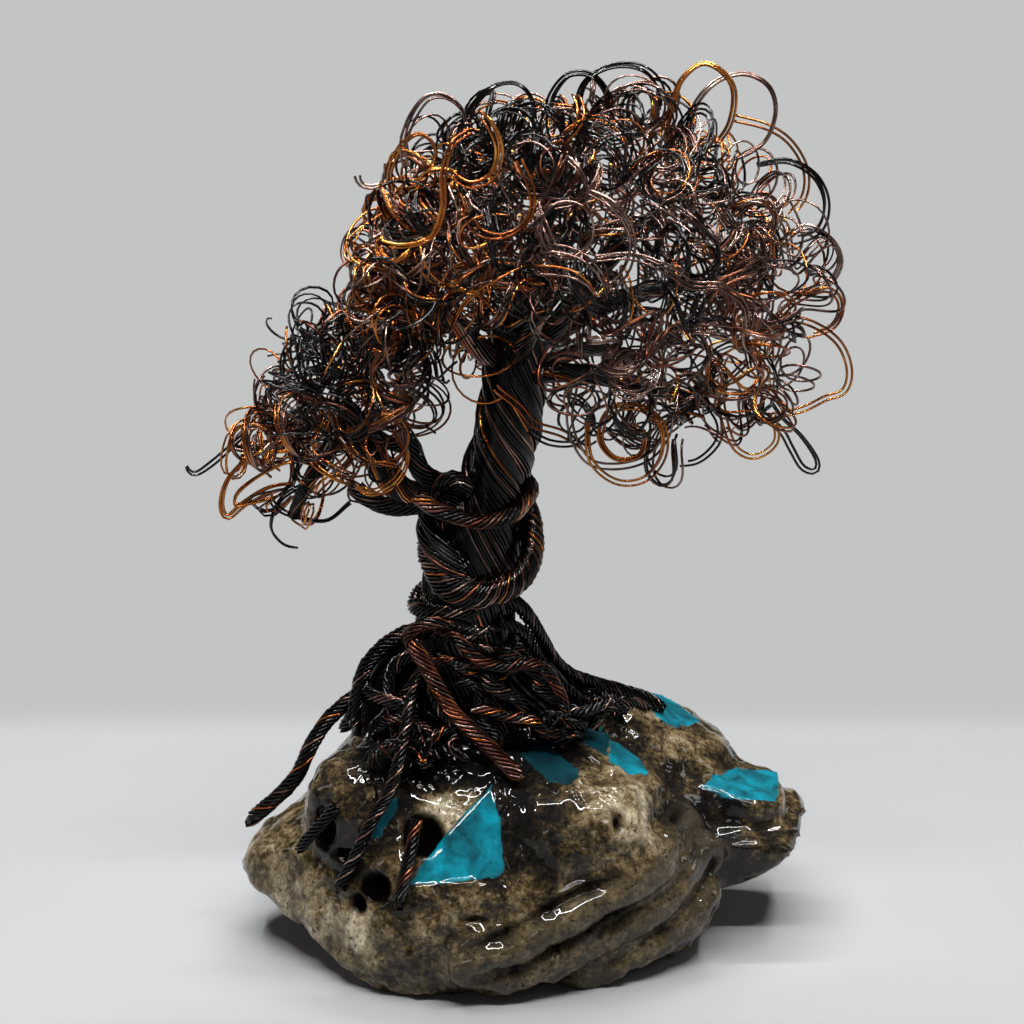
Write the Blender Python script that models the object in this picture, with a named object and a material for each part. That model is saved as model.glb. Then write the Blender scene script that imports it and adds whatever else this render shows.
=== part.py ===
"""A tree of twisted wire standing on a natural stone, as separate solids.

The stone is one lump: a few rounded lobes blended together, with planes sliced off it and three long
ridges along its front. The tree is a bundle of wires. Its trunk, roots and limbs are ropes of many wires,
and each lock of curled wire at a limb's end is one springing tube. Everything is laid out in
millimetres and made in metres, with the middle of the stone's flat underside at the origin.
"""
import bmesh
import bpy
import numpy as np

MM = 0.001

# Driving dimensions, in millimetres.
GAP = 0.5                   # air between pieces that touch
STONE_GAP = 0.9             # air between a root and the stone, which is faceted
WIRE_ROPE = 2.2             # radius of a main root or binding rope
THIN_ROPE = 1.8             # radius of a thin root
LOCK_ROPE = 1.1             # radius of a lock of three or four wires
CURL_RADIUS = 5.6           # radius of the curls in a lock
LOCK_SPREAD = 1.9           # how far a lock's foot stands off its limb's centre line
CURL_TURNS = 2.0
CURL_SIDES = 8              # points along one turn of a curl
STONE_HEART = (0.0, 2.0, 27.0)
STONE_GRID = 40             # faces along each edge of the cube that is wrapped round the stone
STONE_FACES = 2000          # triangles kept in the stone

# Lobes of the stone: centre, half sizes, squareness, spin about Z and tilt about Y in degrees.
LOBES = {
    "body": ((-4, 8, 26), (54, 42, 31), 2.4, 0, 0),
    "crest": ((-10, 8, 46), (36, 28, 18), 2.2, 0, 0),
    "right crest": ((22, 20, 49), (20, 18, 13), 2.3, 0, -10),
    "left wedge": ((-48, -4, 20.5), (26.8, 23, 17), 2.2, 0, 6),
    "toe": ((-28, -27, 11), (26, 16, 14), 2.4, -16, 0),
    "knob": ((-40, -14, 42), (15, 14, 16), 2.4, 0, 10),
    "front": ((-10, -24, 20), (36, 20, 21), 2.4, 0, 0),
    "cheek": ((16, -14, 36), (25, 23, 19), 2.8, 0, -4),
    "shoulder": ((34, 27, 43), (31, 22, 13.2), 2.6, 0, -18),
}
REAR_LOBE = ((65.5, 10, 25), (21.5, 20, 13), 2.6, 0, 6)
REAR_SLAB = ((60, 14, 33.8), (16.5, 15, 6), 3.6, 0, -4)
RIDGE_BED = ((26, -12, 15), (32, 20, 16), 2.4, 22, -8)
CLEFT = ((48, -12, 40), (4, 16, 22), 2.2, -30, 26)
# Ridges along the front: radius, then the points that each passes through.
RIDGES = (
    (6.6, ((-16, -38.5, 8), (-2.4, -38, 11.5), (14.5, -35, 18.5), (21, -31.5, 24), (31, -27.5, 29),
           (40, -20, 32))),
    (4.8, ((12, -37, 10.5), (27, -31, 15.5), (38, -24.5, 20), (46, -17, 22), (50, -12, 26))),
    (4.5, ((-8, -35, 4.5), (20, -31, 6), (31, -26.5, 7), (43, -20, 11))),
)

# The trunk: centre and radius, from its foot on the stone up into the crown.
TRUNK = (
    ((-11, 2, 65.2), 13.5), ((-12, 1, 72), 12.5), ((-12.5, 0, 80), 11.8), ((-12.5, 0, 89), 11.2),
    ((-11.5, 0, 98), 10.6), ((-9.8, 0, 109), 10.4), ((-8.8, 0, 119), 10.0), ((-5.5, 0, 129), 9.2),
    ((-2, 0, 140), 8.8), ((0, 0, 151), 8.6), ((1, 0, 162), 8.2), ((2, 1, 171), 7.4),
)

# Roots that show, from the trunk outward: radius, then the points that each passes through.
ROOTS = {
    "root_far_left": (WIRE_ROPE, ((-26, 1, 83), (-33, 1, 77), (-39.5, 0, 71.5), (-45.5, -4, 68),
                             (-50.5, -6, 63.5), (-54.5, -8, 57.5), (-57.7, -9, 50.5), (-63, -9, 44),
                             (-70, -8, 37.2), (-72.5, -7, 34.5))),
    "root_left_hump": (WIRE_ROPE, ((-24, -4, 90), (-30.5, -5, 88.3), (-37, -6, 83), (-40.2, -7, 77.5),
                              (-41.6, -8, 71), (-43, -9, 64))),
    "root_front": (WIRE_ROPE, ((-26.5, -10, 91.5), (-26, -14, 90), (-23.9, -16, 86.5), (-20.6, -16.5, 80.5),
                          (-15.6, -17.5, 71.8), (-8.7, -20, 65.4), (-2.6, -23, 60.2), (2.4, -26, 55.8))),
    "root_front_left": (THIN_ROPE, ((-25, -10, 82), (-26, -15, 76), (-28, -22, 68.5), (-29.9, -27, 60.8),
                                    (-32.5, -29, 53), (-37, -31, 46), (-41.5, -32, 36), (-45.5, -32, 26))),
    "root_hollow": (THIN_ROPE, ((-25, -32, 47), (-26.5, -38, 40), (-28.5, -42, 33), (-29.5, -44, 27))),
    "root_knob": (THIN_ROPE, ((-46, -27, 49), (-50, -27, 44), (-54.5, -25.5, 38.5), (-57, -23, 34))),
    "root_right": (WIRE_ROPE, ((-2, -10, 101.5), (2, -8, 98), (5, -6, 93), (8, -3, 86.5), (11, 2, 79),
                          (16, 7, 72.5), (24, 15, 66.5), (32, 20, 62), (37, 21, 58), (41, 20, 54))),
    "root_right_low": (THIN_ROPE, ((-3, -11, 95), (1.5, -9, 92), (4.5, -7, 87), (7.5, -6, 82),
                                   (12, -4.5, 76), (18, -2, 69), (24, 2, 63.5))),
    "root_cross": (THIN_ROPE, ((-18, -12, 92), (-14, -14.5, 90.5), (-10, -15, 86.5), (-5.3, -14.5, 83.7),
                               (-0.5, -13.5, 83), (4.3, -12.5, 83.5), (9, -11.5, 81), (12, -11, 76),
                               (14.5, -11.5, 69))),
    "root_right_hook": (THIN_ROPE, ((3, 6, 69), (9, 9, 68), (15, 14, 66.5), (19, 20, 66))),
    "root_middle": (THIN_ROPE, ((1, -3, 71), (4, -5, 67), (9, -9, 63), (13, -14, 60))),
    "root_right_tip": (THIN_ROPE, ((24.5, 11, 65.5), (28, 8, 62), (31, 4, 59))),
    "root_left_tangle": (THIN_ROPE, ((-25, 3, 76), (-28, -1, 70), (-31, -6, 64), (-33, -10, 60))),
    "root_back_left": (WIRE_ROPE, ((-21, 11, 84), (-27, 19, 74), (-36, 27, 62), (-44, 33, 52), (-49, 36, 44))),
    "root_back": (WIRE_ROPE, ((-13, 13, 86), (-14, 20, 76), (-15, 29, 66), (-13, 38, 56), (-10, 44, 44))),
    "root_back_right": (WIRE_ROPE, ((-3, 10, 86), (3, 18, 76), (10, 28, 66), (14, 37, 58), (19, 43, 48))),
}

# Roots whose upper ends come out from under another root or from a hollow in the stone.
LOOSE_ROOTS = ("root_hollow", "root_knob", "root_right_tip")

# Binding ropes round the trunk.
BINDINGS = {
    "binding_ring": (WIRE_ROPE, ((-25, -12, 130), (-20, -13, 126.5), (-15, -13, 124.5), (-8, -13, 122.8),
                            (-2, -11.5, 123.5), (2, -8, 125), (3.5, -1, 127.5), (1, 7, 130),
                            (-5, 11, 131.5), (-12, 10, 131.5))),
    "binding_loop": (WIRE_ROPE, ((-9, 12, 124), (-1, 11, 124), (3, 6, 124), (4.5, 0, 121.5), (5.5, -4, 117),
                            (5.0, -8, 111.5), (2, -11, 107), (-3, -12.5, 104), (-10, -12.8, 103.2),
                            (-16.5, -11, 105), (-20.5, -6, 109.5), (-21.5, 0, 114), (-19, 7, 116),
                            (-14, 11, 117))),
    "binding_foot": (WIRE_ROPE, ((-25, 3, 98), (-26, -3, 96), (-23, -9, 97), (-16, -12.5, 98),
                            (-9, -13, 97.5))),
}
COPPER_ROPES = ("root_front", "root_cross", "binding_ring")

# Limbs of the crown, from the trunk outward: radius at the trunk and at the tip, then the points.
LIMBS = {
    "left_branch": (4.6, 3.0, ((-17, -3, 126), (-22, -4, 126.5), (-28, -5, 128), (-33, -5, 134),
                               (-38, -5, 141), (-43, -5, 146))),
    "limb_far_left": (2.4, 1.6, ((-47.2, -2.5, 147), (-53, 2, 145), (-60, 2, 141), (-68, 0, 138))),
    "limb_left_low": (2.4, 1.6, ((-45.5, -9.5, 144), (-50, -12, 138), (-54, -13, 131), (-57, -12, 124))),
    "limb_left_high": (2.8, 1.6, ((-9, -5, 166), (-18, -9, 177), (-27, -11, 187), (-34, -11, 195))),
    "limb_left_back": (2.8, 1.6, ((-9, 5, 165), (-20, 13, 173), (-31, 18, 178), (-40, 20, 180))),
    "limb_top": (3.2, 1.8, ((2, 1, 171.6), (4, 2, 187), (9, 3, 200), (14, 2, 212))),
    "limb_right_high": (3.0, 1.8, ((11, -1, 171), (20, -6, 185), (31, -9, 198), (42, -9, 207))),
    "limb_right": (3.2, 1.8, ((12, 6, 168), (24, 10, 175), (38, 12, 179), (53, 10, 181))),
    "limb_right_low": (3.0, 1.8, ((10, -6, 161), (22, -13, 162), (35, -17, 160), (48, -16, 156))),
    "limb_front": (2.8, 1.6, ((2, -10, 167), (5, -20, 176), (8, -29, 183), (12, -36, 190))),
    "limb_back": (2.8, 1.6, ((4, 11, 167), (8, 22, 177), (13, 31, 185), (18, 38, 190))),
    "limb_back_low": (2.8, 1.6, ((8, 9, 159), (18, 22, 160), (27, 31, 158), (34, 38, 154))),
}
# Limbs that grow from the end of the left branch, and the one that tops the trunk.
BRANCH_LIMBS = ("limb_far_left", "limb_left_low", "limb_top")

# Locks of curled wire: the limb that each springs from, and where its last curl ends.
LOCKS = {
    "lock_left_end": ("limb_far_left", (-83, -6, 131)),
    "lock_left_shelf": ("limb_far_left", (-76, 10, 153)),
    "lock_left_low": ("limb_left_low", (-60, -8, 109)),
    "lock_left_front": ("limb_left_low", (-63, -26, 119)),
    "lock_left_crest": ("left_branch", (-50, 4, 168)),
    "lock_left_heart": ("left_branch", (-38, -19, 163)),
    "lock_shoulder_left": ("limb_left_high", (-47, -20, 209)),
    "lock_shoulder_top": ("limb_left_high", (-28, -6, 218)),
    "lock_back_left": ("limb_left_back", (-56, 24, 190)),
    "lock_back_left_low": ("limb_left_back", (-52, 30, 168)),
    "lock_top_left": ("limb_top", (2, 10, 230)),
    "lock_top": ("limb_top", (27, -4, 236)),
    "lock_top_right": ("limb_right_high", (57, -7, 225)),
    "lock_right_high": ("limb_right_high", (64, -20, 203)),
    "lock_right": ("limb_right", (76, 8, 192)),
    "lock_right_end": ("limb_right", (83, 3, 163)),
    "lock_right_low": ("limb_right_low", (70, -20, 150)),
    "lock_right_under": ("limb_right_low", (57, -9, 136)),
    "lock_front_high": ("limb_front", (8, -47, 209)),
    "lock_front_low": ("limb_front", (27, -48, 186)),
    "lock_back_high": ("limb_back", (14, 45, 209)),
    "lock_back_right": ("limb_back", (37, 46, 190)),
    "lock_back_low": ("limb_back_low", (46, 45, 140)),
    "lock_back_end": ("limb_back_low", (46, 46, 168)),
}


def clear_scene():
    """Remove whatever the file opened with."""
    for item in list(bpy.data.objects):
        bpy.data.objects.remove(item, do_unlink=True)


def make_material(name, colour, roughness, metallic):
    """A plain Principled material."""
    material = bpy.data.materials.new(name)
    material.use_nodes = True
    shader = material.node_tree.nodes["Principled BSDF"]
    shader.inputs["Base Color"].default_value = (*colour, 1.0)
    shader.inputs["Roughness"].default_value = roughness
    shader.inputs["Metallic"].default_value = metallic
    return material


def smooth_min(a, b, width):
    """The smaller of two distances, with the crease between them rounded over a width."""
    share = np.clip(0.5 + 0.5 * (b - a) / width, 0.0, 1.0)
    return b * (1 - share) + a * share - width * share * (1 - share)


def smooth_max(a, b, width):
    """The larger of two distances, rounded in the same way."""
    return -smooth_min(-a, -b, width)


def lobe(points, centre, size, power, spin, tilt):
    """Rough distance to a superellipsoid, spun about Z and then tilted about Y."""
    turn, lean = np.radians((spin, tilt))
    x, y, z = (points - np.array(centre)).T
    x, y = x * np.cos(turn) + y * np.sin(turn), y * np.cos(turn) - x * np.sin(turn)
    x, z = x * np.cos(lean) + z * np.sin(lean), z * np.cos(lean) - x * np.sin(lean)
    scaled = np.abs(np.stack((x, y, z), axis=1) / np.array(size)) ** power
    return (scaled.sum(axis=1) ** (1 / power) - 1) * min(size)


def ridge(points, left, right, left_radius, right_radius):
    """Distance to a tapered bar with round ends."""
    start = np.array(left, float)
    span = np.array(right, float) - start
    along = np.clip((points - start) @ span / (span @ span), 0, 1)
    radius = left_radius + (right_radius - left_radius) * along
    return np.linalg.norm(points - start - along[:, None] * span, axis=1) - radius


def beyond(points, place, normal):
    """Distance past a plane, positive on the side that its normal points to."""
    unit = np.array(normal, float) / np.linalg.norm(normal)
    return (points - np.array(place)) @ unit


def along_path(points, path, radius):
    """Distance to a round bar that follows a line of points."""
    return np.min([ridge(points, start, end, radius, radius)
                   for start, end in zip(path, path[1:])], axis=0)


def stone(points):
    """Rough distance from each point to the stone, negative inside it."""
    distance = None
    for name, shape in LOBES.items():
        part = lobe(points, *shape)
        if name == "cheek":
            part = smooth_max(part, beyond(points, (37, -26, 42), (0.84, -0.30, 0.42)), 1.5)
        distance = part if distance is None else smooth_min(distance, part, 5.0)
    # Broken faces under the left end and the back.
    distance = smooth_max(distance, beyond(points, (-51.5, -21.6, 6.2), (-0.60, -0.28, -0.74)), 2)
    distance = smooth_max(distance, beyond(points, (-46, -33, 16), (-0.62, -0.76, 0.12)), 2)
    distance = smooth_max(distance, beyond(points, (0, 52, 20), (0, 0.8, -0.6)), 6)
    # The rear lobe: flat on top with a slab on it, broken off slanting below.
    rear = smooth_max(lobe(points, *REAR_LOBE), beyond(points, (70, 10, 31), (0.05, -0.08, 1)), 1.2)
    rear = smooth_min(rear, lobe(points, *REAR_SLAB), 1.0)
    rear = smooth_max(rear, beyond(points, (76, 0, 24), (0.66, -0.08, -0.75)), 1.5)
    distance = smooth_min(distance, rear, 3.0)
    distance = smooth_max(distance, -lobe(points, *CLEFT), 3.0)
    # The ridges, in one bed along the front.
    front = lobe(points, *RIDGE_BED)
    for radius, path in RIDGES:
        front = smooth_min(front, along_path(points, path, radius), 1.0)
    front = smooth_max(front, beyond(points, (57, -20, 18), (0.84, -0.2, -0.50)), 2)
    distance = smooth_min(distance, front, 2.0)
    # The flat underside.
    return np.maximum(distance, -points[:, 2])


def stone_surface(directions):
    """Where rays from the stone's heart leave it for the last time."""
    heart = np.array(STONE_HEART)
    reach = np.full(len(directions), 130.0)
    for _ in range(160):
        gap = stone(heart + directions * reach[:, None])
        reach -= np.clip(gap * 0.6, -2.0, 8.0)
    return heart + directions * reach[:, None]


def slope(field, points, step=0.2):
    """Outward direction of a distance field."""
    rise = [field(points + offset) - field(points - offset) for offset in np.eye(3) * step]
    rise = np.stack(rise, axis=1)
    return rise / np.linalg.norm(rise, axis=1)[:, None]


def trunk(points):
    """Rough distance from each point to the trunk's side."""
    heights = [centre[2] for centre, _ in TRUNK]
    across = np.interp(points[:, 2], heights, [centre[0] for centre, _ in TRUNK])
    back = np.interp(points[:, 2], heights, [centre[1] for centre, _ in TRUNK])
    radius = np.interp(points[:, 2], heights, [size for _, size in TRUNK])
    return np.hypot(points[:, 0] - across, points[:, 1] - back) - radius


def through(points, spacing):
    """Evenly spaced points on a smooth curve through hand-set ones (Catmull-Rom)."""
    knots = np.array(points, float)
    knots = np.vstack((2 * knots[0] - knots[1], knots, 2 * knots[-1] - knots[-2]))
    fine = []
    for a, b, c, d in zip(knots, knots[1:], knots[2:], knots[3:]):
        for t in np.linspace(0, 1, 16, endpoint=False):
            fine.append(0.5 * (2 * b + (c - a) * t + (2 * a - 5 * b + 4 * c - d) * t ** 2
                               + (3 * b - a - 3 * c + d) * t ** 3))
    fine = np.array(fine + [knots[-2]])
    length = np.concatenate(([0], np.cumsum(np.linalg.norm(np.diff(fine, axis=0), axis=1))))
    stations = np.linspace(0, length[-1], max(4, round(length[-1] / spacing) + 1))
    return np.stack([np.interp(stations, length, fine[:, axis]) for axis in range(3)], axis=1)


def keep_clear(points, radius):
    """Lift a rope's centre line until the rope clears the stone and the trunk."""
    points = points.copy()
    for field, air in ((trunk, GAP), (stone, STONE_GAP)):
        for _ in range(12):
            short = radius + air - field(points)
            if field is trunk:
                # The trunk's foot is the only end of it that a rope comes near.
                short[points[:, 2] < TRUNK[0][0][2] - 1] = 0
            points += slope(field, points) * np.maximum(short, 0)[:, None]
    return points


def spring_from_trunk(points, radius):
    """Slide a rope's first point to the trunk's skin, where its wires leave the bundle."""
    points = np.array(points, float)
    for _ in range(8):
        first = points[:1]
        points[:1] -= slope(trunk, first) * (trunk(first) - radius - GAP)[:, None]
    return points


def add_tube(name, points, radii, sides, material, collection):
    """A round bar along a line of points: a bevelled poly curve with filled ends."""
    curve = bpy.data.curves.new(name, "CURVE")
    curve.dimensions = "3D"
    curve.bevel_depth = MM
    curve.bevel_resolution = (sides - 4) // 2
    curve.use_fill_caps = True
    spline = curve.splines.new("POLY")
    spline.points.add(len(points) - 1)
    for knot, place, radius in zip(spline.points, points, radii):
        knot.co = (*(np.array(place) * MM), 1.0)
        knot.radius = radius
    curve.materials.append(material)
    item = bpy.data.objects.new(name, curve)
    collection.objects.link(item)
    return item


def add_stone(material, collection):
    """A gridded cube wrapped onto the stone's surface, then thinned out where it is flat."""
    mesh = bpy.data.meshes.new("stone_base")
    shape = bmesh.new()
    bmesh.ops.create_cube(shape, size=2.0)
    bmesh.ops.subdivide_edges(shape, edges=shape.edges[:], cuts=STONE_GRID - 1, use_grid_fill=True)
    corners = np.array([vertex.co for vertex in shape.verts])
    directions = np.tan(corners * np.pi / 4)
    directions /= np.linalg.norm(directions, axis=1)[:, None]
    for vertex, place in zip(shape.verts, stone_surface(directions) * MM):
        vertex.co = place
    for vertex in shape.verts:
        if vertex.co.z < 0.05 * MM:
            vertex.co.z = 0.0
    shape.to_mesh(mesh)
    shape.free()
    mesh.materials.append(material)
    item = bpy.data.objects.new("stone_base", mesh)
    collection.objects.link(item)
    thin = item.modifiers.new("thin", "DECIMATE")
    thin.ratio = STONE_FACES / (12 * STONE_GRID ** 2)
    return item


def add_lock(name, limb, tip, material, collection):
    """A coil of wire that springs from a limb's end face and widens to its last curl."""
    _, limb_radius, knots = LIMBS[limb]
    end = through(knots, 7.0)[-2:]
    along = (end[1] - end[0]) / np.linalg.norm(end[1] - end[0])
    tip = np.array(tip, float)
    aside = tip - end[1] - along * ((tip - end[1]) @ along)
    aside /= np.linalg.norm(aside)
    foot = end[1] + along * (LOCK_ROPE + GAP) + aside * LOCK_SPREAD
    axis = (tip - foot) / np.linalg.norm(tip - foot)
    side = np.cross(axis, aside)
    side /= np.linalg.norm(side)
    up = np.cross(side, axis)
    share = np.linspace(0, 1, round(CURL_TURNS * CURL_SIDES) + 1)
    angle = share * CURL_TURNS * 2 * np.pi
    width = CURL_RADIUS * np.clip(share * 3, 0, 1)
    points = (foot + np.outer(share, tip - foot)
              + (np.cos(angle) * width)[:, None] * up + (np.sin(angle) * width)[:, None] * side)
    return add_tube(name, points, np.full(len(points), LOCK_ROPE), 4, material, collection)


def main():
    """Build the stone and then the tree from its foot to its curls."""
    clear_scene()
    tree = bpy.data.collections.new("wire_tree_sculpture")
    bpy.context.scene.collection.children.link(tree)
    rock = make_material("stone", (0.16, 0.12, 0.08), 0.25, 0.0)
    dark = make_material("black_wire", (0.012, 0.010, 0.010), 0.35, 0.6)
    copper = make_material("copper_wire", (0.42, 0.13, 0.05), 0.3, 1.0)
    brown = make_material("brown_wire", (0.07, 0.04, 0.03), 0.35, 0.8)

    add_stone(rock, tree)
    add_tube("trunk", [centre for centre, _ in TRUNK], [size for _, size in TRUNK], 12, dark, tree)
    for name, (radius, points) in ROOTS.items():
        if name not in LOOSE_ROOTS:
            points = spring_from_trunk(points, radius)
        line = keep_clear(through(points, 2.6 * radius), radius)
        material = copper if name in COPPER_ROPES else dark
        add_tube(name, line, np.full(len(line), radius), 6, material, tree)
    for name, (radius, points) in BINDINGS.items():
        line = keep_clear(through(points, 2.6 * radius), radius)
        material = copper if name in COPPER_ROPES else dark
        add_tube(name, line, np.full(len(line), radius), 6, material, tree)
    for name, (near, far, points) in LIMBS.items():
        if name not in BRANCH_LIMBS:
            points = spring_from_trunk(points, near)
        line = through(points, 7.0)
        add_tube(name, line, np.linspace(near, far, len(line)), 8, dark, tree)
    for number, (name, (limb, tip)) in enumerate(LOCKS.items()):
        add_lock(name, limb, tip, brown if number % 2 else dark, tree)


main()
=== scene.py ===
# %% [markdown]
# # A tree of curled wire on a painted stone
#
# The real object is made by hand. A bundle of about a hundred enamelled copper wires is twisted into
# a trunk. At its foot the bundle parts into rope-like roots that grip a natural stone, and at its top
# every wire is wound round a rod and pulled open into curls. The stone has turquoise facets and is
# coated with clear resin, which is why it looks wet.
#
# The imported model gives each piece's place and size. Here every rope is rebuilt wire by wire round
# the same line, every lock becomes a tuft of curls, and the stone gets its pits, pools and colours.

import bmesh
import bpy
import numpy as np
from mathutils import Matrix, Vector, noise


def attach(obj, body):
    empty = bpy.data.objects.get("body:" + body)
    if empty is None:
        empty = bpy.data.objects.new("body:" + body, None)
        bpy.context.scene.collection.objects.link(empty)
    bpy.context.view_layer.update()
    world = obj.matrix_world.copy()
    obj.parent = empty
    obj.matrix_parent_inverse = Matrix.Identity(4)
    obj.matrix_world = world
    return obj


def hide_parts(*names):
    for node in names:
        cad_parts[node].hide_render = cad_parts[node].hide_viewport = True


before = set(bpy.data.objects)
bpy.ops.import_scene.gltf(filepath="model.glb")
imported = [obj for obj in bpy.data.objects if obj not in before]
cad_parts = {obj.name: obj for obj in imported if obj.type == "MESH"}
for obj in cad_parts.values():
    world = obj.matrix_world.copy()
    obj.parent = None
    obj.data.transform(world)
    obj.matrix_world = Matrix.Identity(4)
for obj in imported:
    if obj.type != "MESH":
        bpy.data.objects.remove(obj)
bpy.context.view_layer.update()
MM = 0.001                  # the work is laid out in millimetres and made in metres
scene = bpy.context.scene
scene.view_settings.view_transform = "Standard"

# %% [markdown]
# ## The camera
#
# A product shot of a small sculpture is taken with a long lens from a little above, so that the
# ground plane opens up and upright lines stay nearly parallel. The camera looks at a point halfway
# up the tree. Its place follows from the pitch and the distance, which keeps both easy to change.

# %% Camera
CAMERA_PITCH = np.radians(17.5)
CAMERA_DISTANCE = 636.0
CAMERA_TARGET = (0.0, 0.0, 121.5)
SENSOR_WIDTH = 36.0
LENS = 2400 / 1024 * SENSOR_WIDTH

camera_data = bpy.data.cameras.new("camera")
camera_data.sensor_width = SENSOR_WIDTH
camera_data.lens = LENS
camera_data.clip_start, camera_data.clip_end = 0.01, 50.0
camera = bpy.data.objects.new("camera", camera_data)
scene.collection.objects.link(camera)
camera.location = [value * MM for value in (
    CAMERA_TARGET[0],
    CAMERA_TARGET[1] - CAMERA_DISTANCE * np.cos(CAMERA_PITCH),
    CAMERA_TARGET[2] + CAMERA_DISTANCE * np.sin(CAMERA_PITCH))]
camera.rotation_euler = (np.pi / 2 - CAMERA_PITCH, 0, 0)
scene.camera = camera
print("camera at", [round(value / MM) for value in camera.location], "mm, lens", round(LENS, 1))

# %% [markdown]
# ## Colours and nodes
#
# Colours are picked as sRGB hex values, as in any paint program, and a shader wants them linear, so
# one function turns them. A second one adds a node, sets it and links it in a single call. A number
# key means an input by its place, which the Mix node needs because its inputs share their names.

# %% Two helpers for materials
def linear(hex_colour):
    """An sRGB hex colour as linear red, green, blue and alpha."""
    parts = [int(hex_colour[i:i + 2], 16) / 255 for i in (1, 3, 5)]
    return (*[part / 12.92 if part <= 0.04045 else ((part + 0.055) / 1.055) ** 2.4
              for part in parts], 1.0)


def add_node(tree, kind, settings, links=None):
    """Add a node to a tree with its settings, and link outputs of others to its inputs."""
    node = tree.nodes.new(kind)
    for key, value in settings.items():
        if isinstance(key, str) and hasattr(node, key):
            setattr(node, key, value)
        else:
            node.inputs[key].default_value = value
    for key, socket in (links or {}).items():
        tree.links.new(socket, node.inputs[key])
    return node


def new_material(name):
    """An empty material, its node tree, its Principled shader and the surface coordinates."""
    material = bpy.data.materials.new(name)
    material.use_nodes = True
    tree = material.node_tree
    place = add_node(tree, "ShaderNodeTexCoord", {}).outputs["Object"]
    return material, tree, tree.nodes["Principled BSDF"], place


def set_ramp(ramp, stops, interpolation="LINEAR"):
    """Give a Color Ramp node its stops, as (position, hex colour) pairs."""
    ramp.color_ramp.interpolation = interpolation
    elements = ramp.color_ramp.elements
    while len(elements) < len(stops):
        elements.new(0.5)
    for element, (position, colour) in zip(elements, stops):
        element.position = position
        element.color = linear(colour)


# %% [markdown]
# ## The studio
#
# The tree stands on a white table inside a light tent. The floor is one large sheet: white where the
# tree stands, and the pale grey of a lit tent wall from a hand's breadth behind it. A wall would
# stand in the way of the views from behind, so the grey is only a change in the sheet's material.

# %% Floor
FLOOR_SIDE = 12000.0
TABLE_DEPTH = 150.0         # from the middle of the tree to where the tent's wall begins
TABLE_FADE = 14.0

floor_mesh = bpy.data.meshes.new("studio_floor")
shape = bmesh.new()
bmesh.ops.create_grid(shape, x_segments=4, y_segments=4, size=FLOOR_SIDE / 2 * MM)
shape.to_mesh(floor_mesh)
shape.free()
floor = bpy.data.objects.new("studio_floor", floor_mesh)
scene.collection.objects.link(floor)

floor_paint, tree, shader, place = new_material("matt_white_board")
shader.inputs["Base Color"].default_value = linear("#a1a2a3")
shader.inputs["Roughness"].default_value = 0.55
shader.inputs["Specular IOR Level"].default_value = 0.25
axes = add_node(tree, "ShaderNodeSeparateXYZ", {}, {"Vector": place})
reach = [add_node(tree, "ShaderNodeMath", {"operation": "ABSOLUTE"}, {0: axes.outputs[axis]})
         for axis in ("X", "Y")]
wider = add_node(tree, "ShaderNodeMath", {"operation": "SUBTRACT", 1: 80 * MM},
                 {0: reach[0].outputs[0]})
farthest = add_node(tree, "ShaderNodeMath", {"operation": "MAXIMUM"},
                    {0: wider.outputs[0], 1: reach[1].outputs[0]})
fade = add_node(tree, "ShaderNodeMapRange",
                {"interpolation_type": "SMOOTHSTEP", "From Min": (TABLE_DEPTH - TABLE_FADE) * MM,
                 "From Max": (TABLE_DEPTH + TABLE_FADE) * MM},
                {"Value": farthest.outputs[0]})
wall_glow = add_node(tree, "ShaderNodeEmission", {"Color": linear("#c3c4c4"), "Strength": 1.0})
both = add_node(tree, "ShaderNodeMixShader", {},
                {0: fade.outputs[0], 1: shader.outputs[0], 2: wall_glow.outputs[0]})
tree.links.new(both.outputs[0], tree.nodes["Material Output"].inputs["Surface"])
floor_mesh.materials.append(floor_paint)
print("floor", FLOOR_SIDE, "mm wide, white to", TABLE_DEPTH, "mm")

# %% [markdown]
# ## Light
#
# A light tent for small pieces has rows of lamps along the four top edges of a box of white cloth.
# The cloth gives soft light from all sides. The rows are what the wires and the resin mirror, as
# thin bright lines, so they are made here as four long narrow lamps in a square.

# %% Lights
def add_panel(name, place, aim, sides, watts):
    """A rectangular area lamp at a place, turned to face a point; lengths in millimetres."""
    data = bpy.data.lights.new(name, "AREA")
    data.shape = "RECTANGLE"
    data.size, data.size_y = sides[0] * MM, sides[1] * MM
    data.energy = watts
    lamp = bpy.data.objects.new(name, data)
    scene.collection.objects.link(lamp)
    lamp.location = [value * MM for value in place]
    toward = Vector(aim) - Vector(place)
    lamp.rotation_euler = toward.to_track_quat("-Z", "Y").to_euler()
    return lamp


ROW_HEIGHT = 520.0
ROW_REACH = 210.0
ROW_SIDES = (400, 12)
for name, x, y, watts in (("front_row", 0, -1, 2.4), ("rear_row", 0, 1, 2.2),
                          ("left_row", -1, 0, 1.6), ("right_row", 1, 0, 1.6)):
    add_panel(name, (x * ROW_REACH, y * ROW_REACH, ROW_HEIGHT), (0, 0, 60), ROW_SIDES, watts)
add_panel("roof_panel", (0, 60, 700), (0, 0, 60), (420, 420), 0.8)
add_panel("left_panel", (-620, -60, 330), (0, 0, 120), (80, 300), 0.25)
add_panel("right_panel", (620, -20, 360), (0, 0, 120), (80, 300), 0.3)
add_panel("front_panel", (-60, -760, 420), (0, 0, 60), (120, 120), 0.15)

world = bpy.data.worlds.new("tent")
scene.world = world
world.use_nodes = True
world.node_tree.nodes["Background"].inputs["Color"].default_value = linear("#cfd0d2")
world.node_tree.nodes["Background"].inputs["Strength"].default_value = 0.05

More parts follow.
